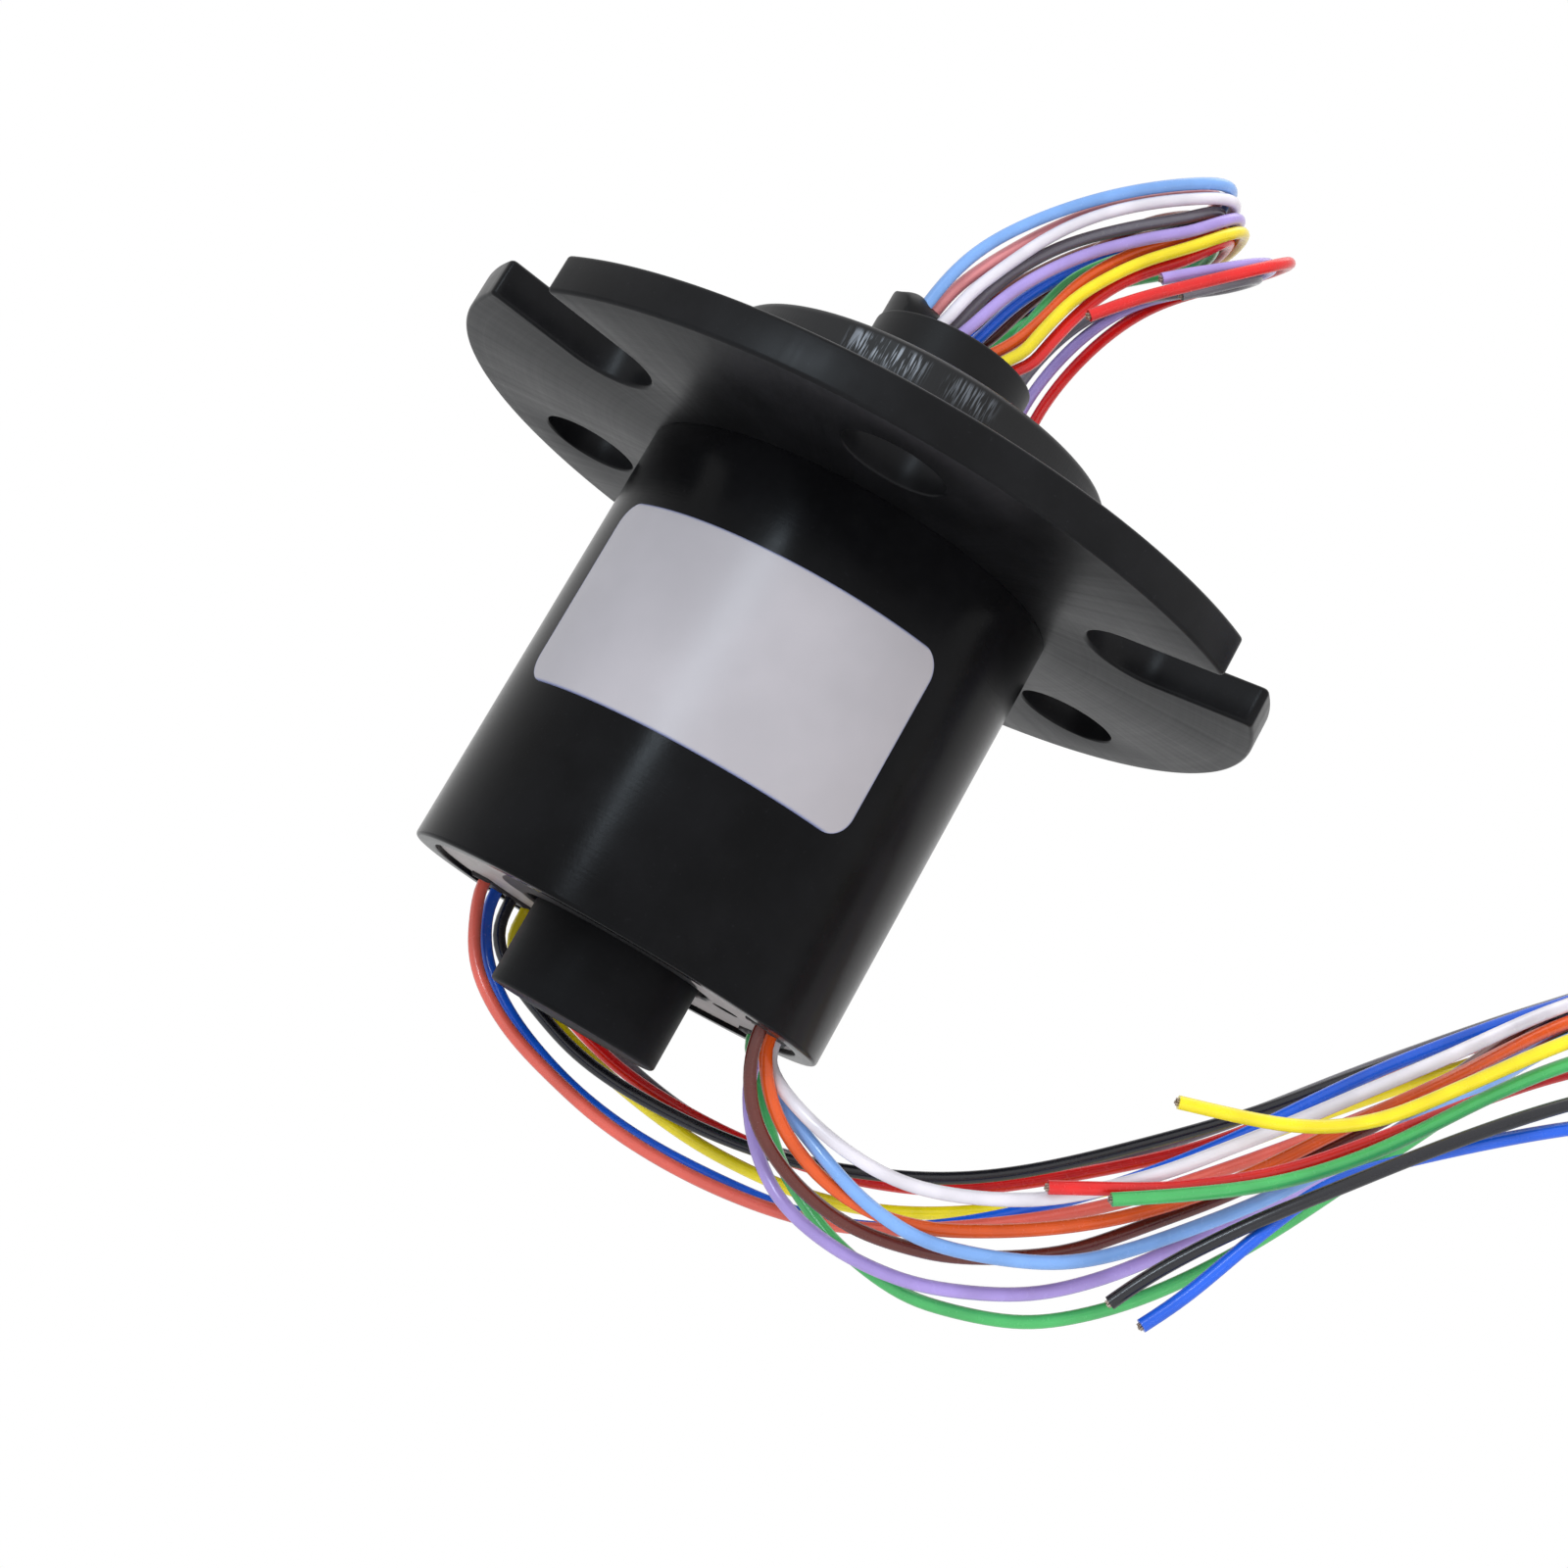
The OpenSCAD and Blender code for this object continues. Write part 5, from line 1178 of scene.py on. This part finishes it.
class SLIPRING_OT_stage(bpy.types.Operator):
    """Lays a pale floor, a white world and soft lamps"""

    bl_idname = "slip_ring.stage"
    bl_label = "Floor and lights"

    def execute(self, context):
        mesh = bpy.data.meshes.new("floor")
        corners = [(FLOOR_HALF * x, FLOOR_HALF * y) for x, y in ((-1, -1), (1, -1), (1, 1), (-1, 1))]
        mesh.from_pydata([(x, y, FLOOR_Z) for x, y in corners], [], [(0, 1, 2, 3)])
        floor = bpy.data.objects.new("floor", mesh)
        pale = Finish("floor_pale", Specular_IOR_Level=0.1)
        drift = pale.noise(pale.place, 0.01, 2.0, 0.5)
        pale.feed("Base Color", pale.blend(drift, (0.93, 0.93, 0.93, 1.0), (0.96, 0.96, 0.96, 1.0)))
        pale.feed("Roughness", drift * 0.1 + 0.8)
        glow = pale.tree.nodes.new("ShaderNodeEmission")
        far = pale.radius().step(25.0, 80.0) * pale.node("ShaderNodeLightPath", out="Is Camera Ray")
        lit, white = Wire(pale, pale.shader.outputs[0]), Wire(pale, glow.outputs[0])
        mix = pale.node("ShaderNodeMixShader", None, far, lit, white)
        under = pale.node("ShaderNodeNewGeometry", out="Backfacing")
        clear = Wire(pale, pale.tree.nodes.new("ShaderNodeBsdfTransparent").outputs[0])
        mix = pale.node("ShaderNodeMixShader", None, under, mix, clear)
        pale.tree.links.new(mix.socket, pale.tree.nodes["Material Output"].inputs["Surface"])
        mesh.materials.append(pale.material)
        context.scene.collection.objects.link(floor)
        self.world(context.scene)
        context.scene.view_settings.view_transform = "Standard"
        add_lamp("window", (-0.195, -0.315, 0.07), (0, 0, -0.008), (0.03, 0.17), 0.4, (0.76, 0.89, 1.0))
        add_lamp("right_fill", (0.22, -0.34, -0.03), (0, 0, -0.008), (0.16, 0.10), 0.36, (1.0, 0.98, 0.96), False)
        add_lamp("high_front", (0.06, -0.26, 0.36), (0.005, 0, 0.015), (0.24, 0.24), 0.6, (1.0, 0.98, 0.95), False)
        add_lamp("overhead", (0.02, 0.05, 0.42), (0, 0, 0), (0.30, 0.30), 0.4)
        return {"FINISHED"}

    def world(self, scene):
        """A soft world that the camera, gloss and glass see as plain white."""
        world = bpy.data.worlds.new("white_room")
        world.use_nodes = True
        tree = world.node_tree
        tree.nodes.clear()
        path = tree.nodes.new("ShaderNodeLightPath")
        first, second = (tree.nodes.new("ShaderNodeMath") for _ in range(2))
        first.operation = second.operation = "MAXIMUM"
        tree.links.new(path.outputs["Is Camera Ray"], first.inputs[0])
        tree.links.new(path.outputs["Is Glossy Ray"], first.inputs[1])
        tree.links.new(first.outputs[0], second.inputs[0])
        tree.links.new(path.outputs["Is Transmission Ray"], second.inputs[1])
        soft, white = (tree.nodes.new("ShaderNodeBackground") for _ in range(2))
        soft.inputs["Color"].default_value = (0.97, 0.985, 1.0, 1.0)
        soft.inputs["Strength"].default_value = 0.6
        white.inputs["Strength"].default_value = 1.0
        white.inputs["Color"].default_value = (1.0, 1.0, 1.0, 1.0)
        mix, out = tree.nodes.new("ShaderNodeMixShader"), tree.nodes.new("ShaderNodeOutputWorld")
        tree.links.new(second.outputs[0], mix.inputs[0])
        tree.links.new(soft.outputs[0], mix.inputs[1])
        tree.links.new(white.outputs[0], mix.inputs[2])
        tree.links.new(mix.outputs[0], out.inputs["Surface"])
        scene.world = world


# ---------------------------------------------------------------- panel and run


OPERATORS = (
    SLIPRING_OT_camera, SLIPRING_OT_leads, SLIPRING_OT_shell, SLIPRING_OT_flange, SLIPRING_OT_end_plate,
    SLIPRING_OT_label, SLIPRING_OT_rotor, SLIPRING_OT_ties, SLIPRING_OT_inner, SLIPRING_OT_stage,
)


class SLIPRING_PT_panel(bpy.types.Panel):
    """Lists the sizes, the colours and the pieces to make"""

    bl_idname = "SLIPRING_PT_panel"
    bl_label = "Slip Ring"
    bl_space_type = "VIEW_3D"
    bl_region_type = "UI"
    bl_category = "Slip Ring"

    def draw(self, context):
        for group in (context.scene.slip_ring_sizes, context.scene.slip_ring_colours):
            box = self.layout.box()
            for name in type(group).__annotations__:
                box.prop(group, name)
        for operator in OPERATORS:
            self.layout.operator(operator.bl_idname)


CLASSES = (SlipRingSizes, SlipRingColours, *OPERATORS, SLIPRING_PT_panel)


def register():
    """Registers the classes and hangs both property groups on the scene."""
    for cls in CLASSES:
        bpy.utils.register_class(cls)
    bpy.types.Scene.slip_ring_sizes = bpy.props.PointerProperty(type=SlipRingSizes)
    bpy.types.Scene.slip_ring_colours = bpy.props.PointerProperty(type=SlipRingColours)


def unregister():
    """Takes the property groups and the classes away again."""
    del bpy.types.Scene.slip_ring_colours
    del bpy.types.Scene.slip_ring_sizes
    for cls in reversed(CLASSES):
        bpy.utils.unregister_class(cls)


def main():
    register()
    for operator in OPERATORS:
        group, name = operator.bl_idname.split(".")
        getattr(getattr(bpy.ops, group), name)()


if __name__ == "__main__":
    main()
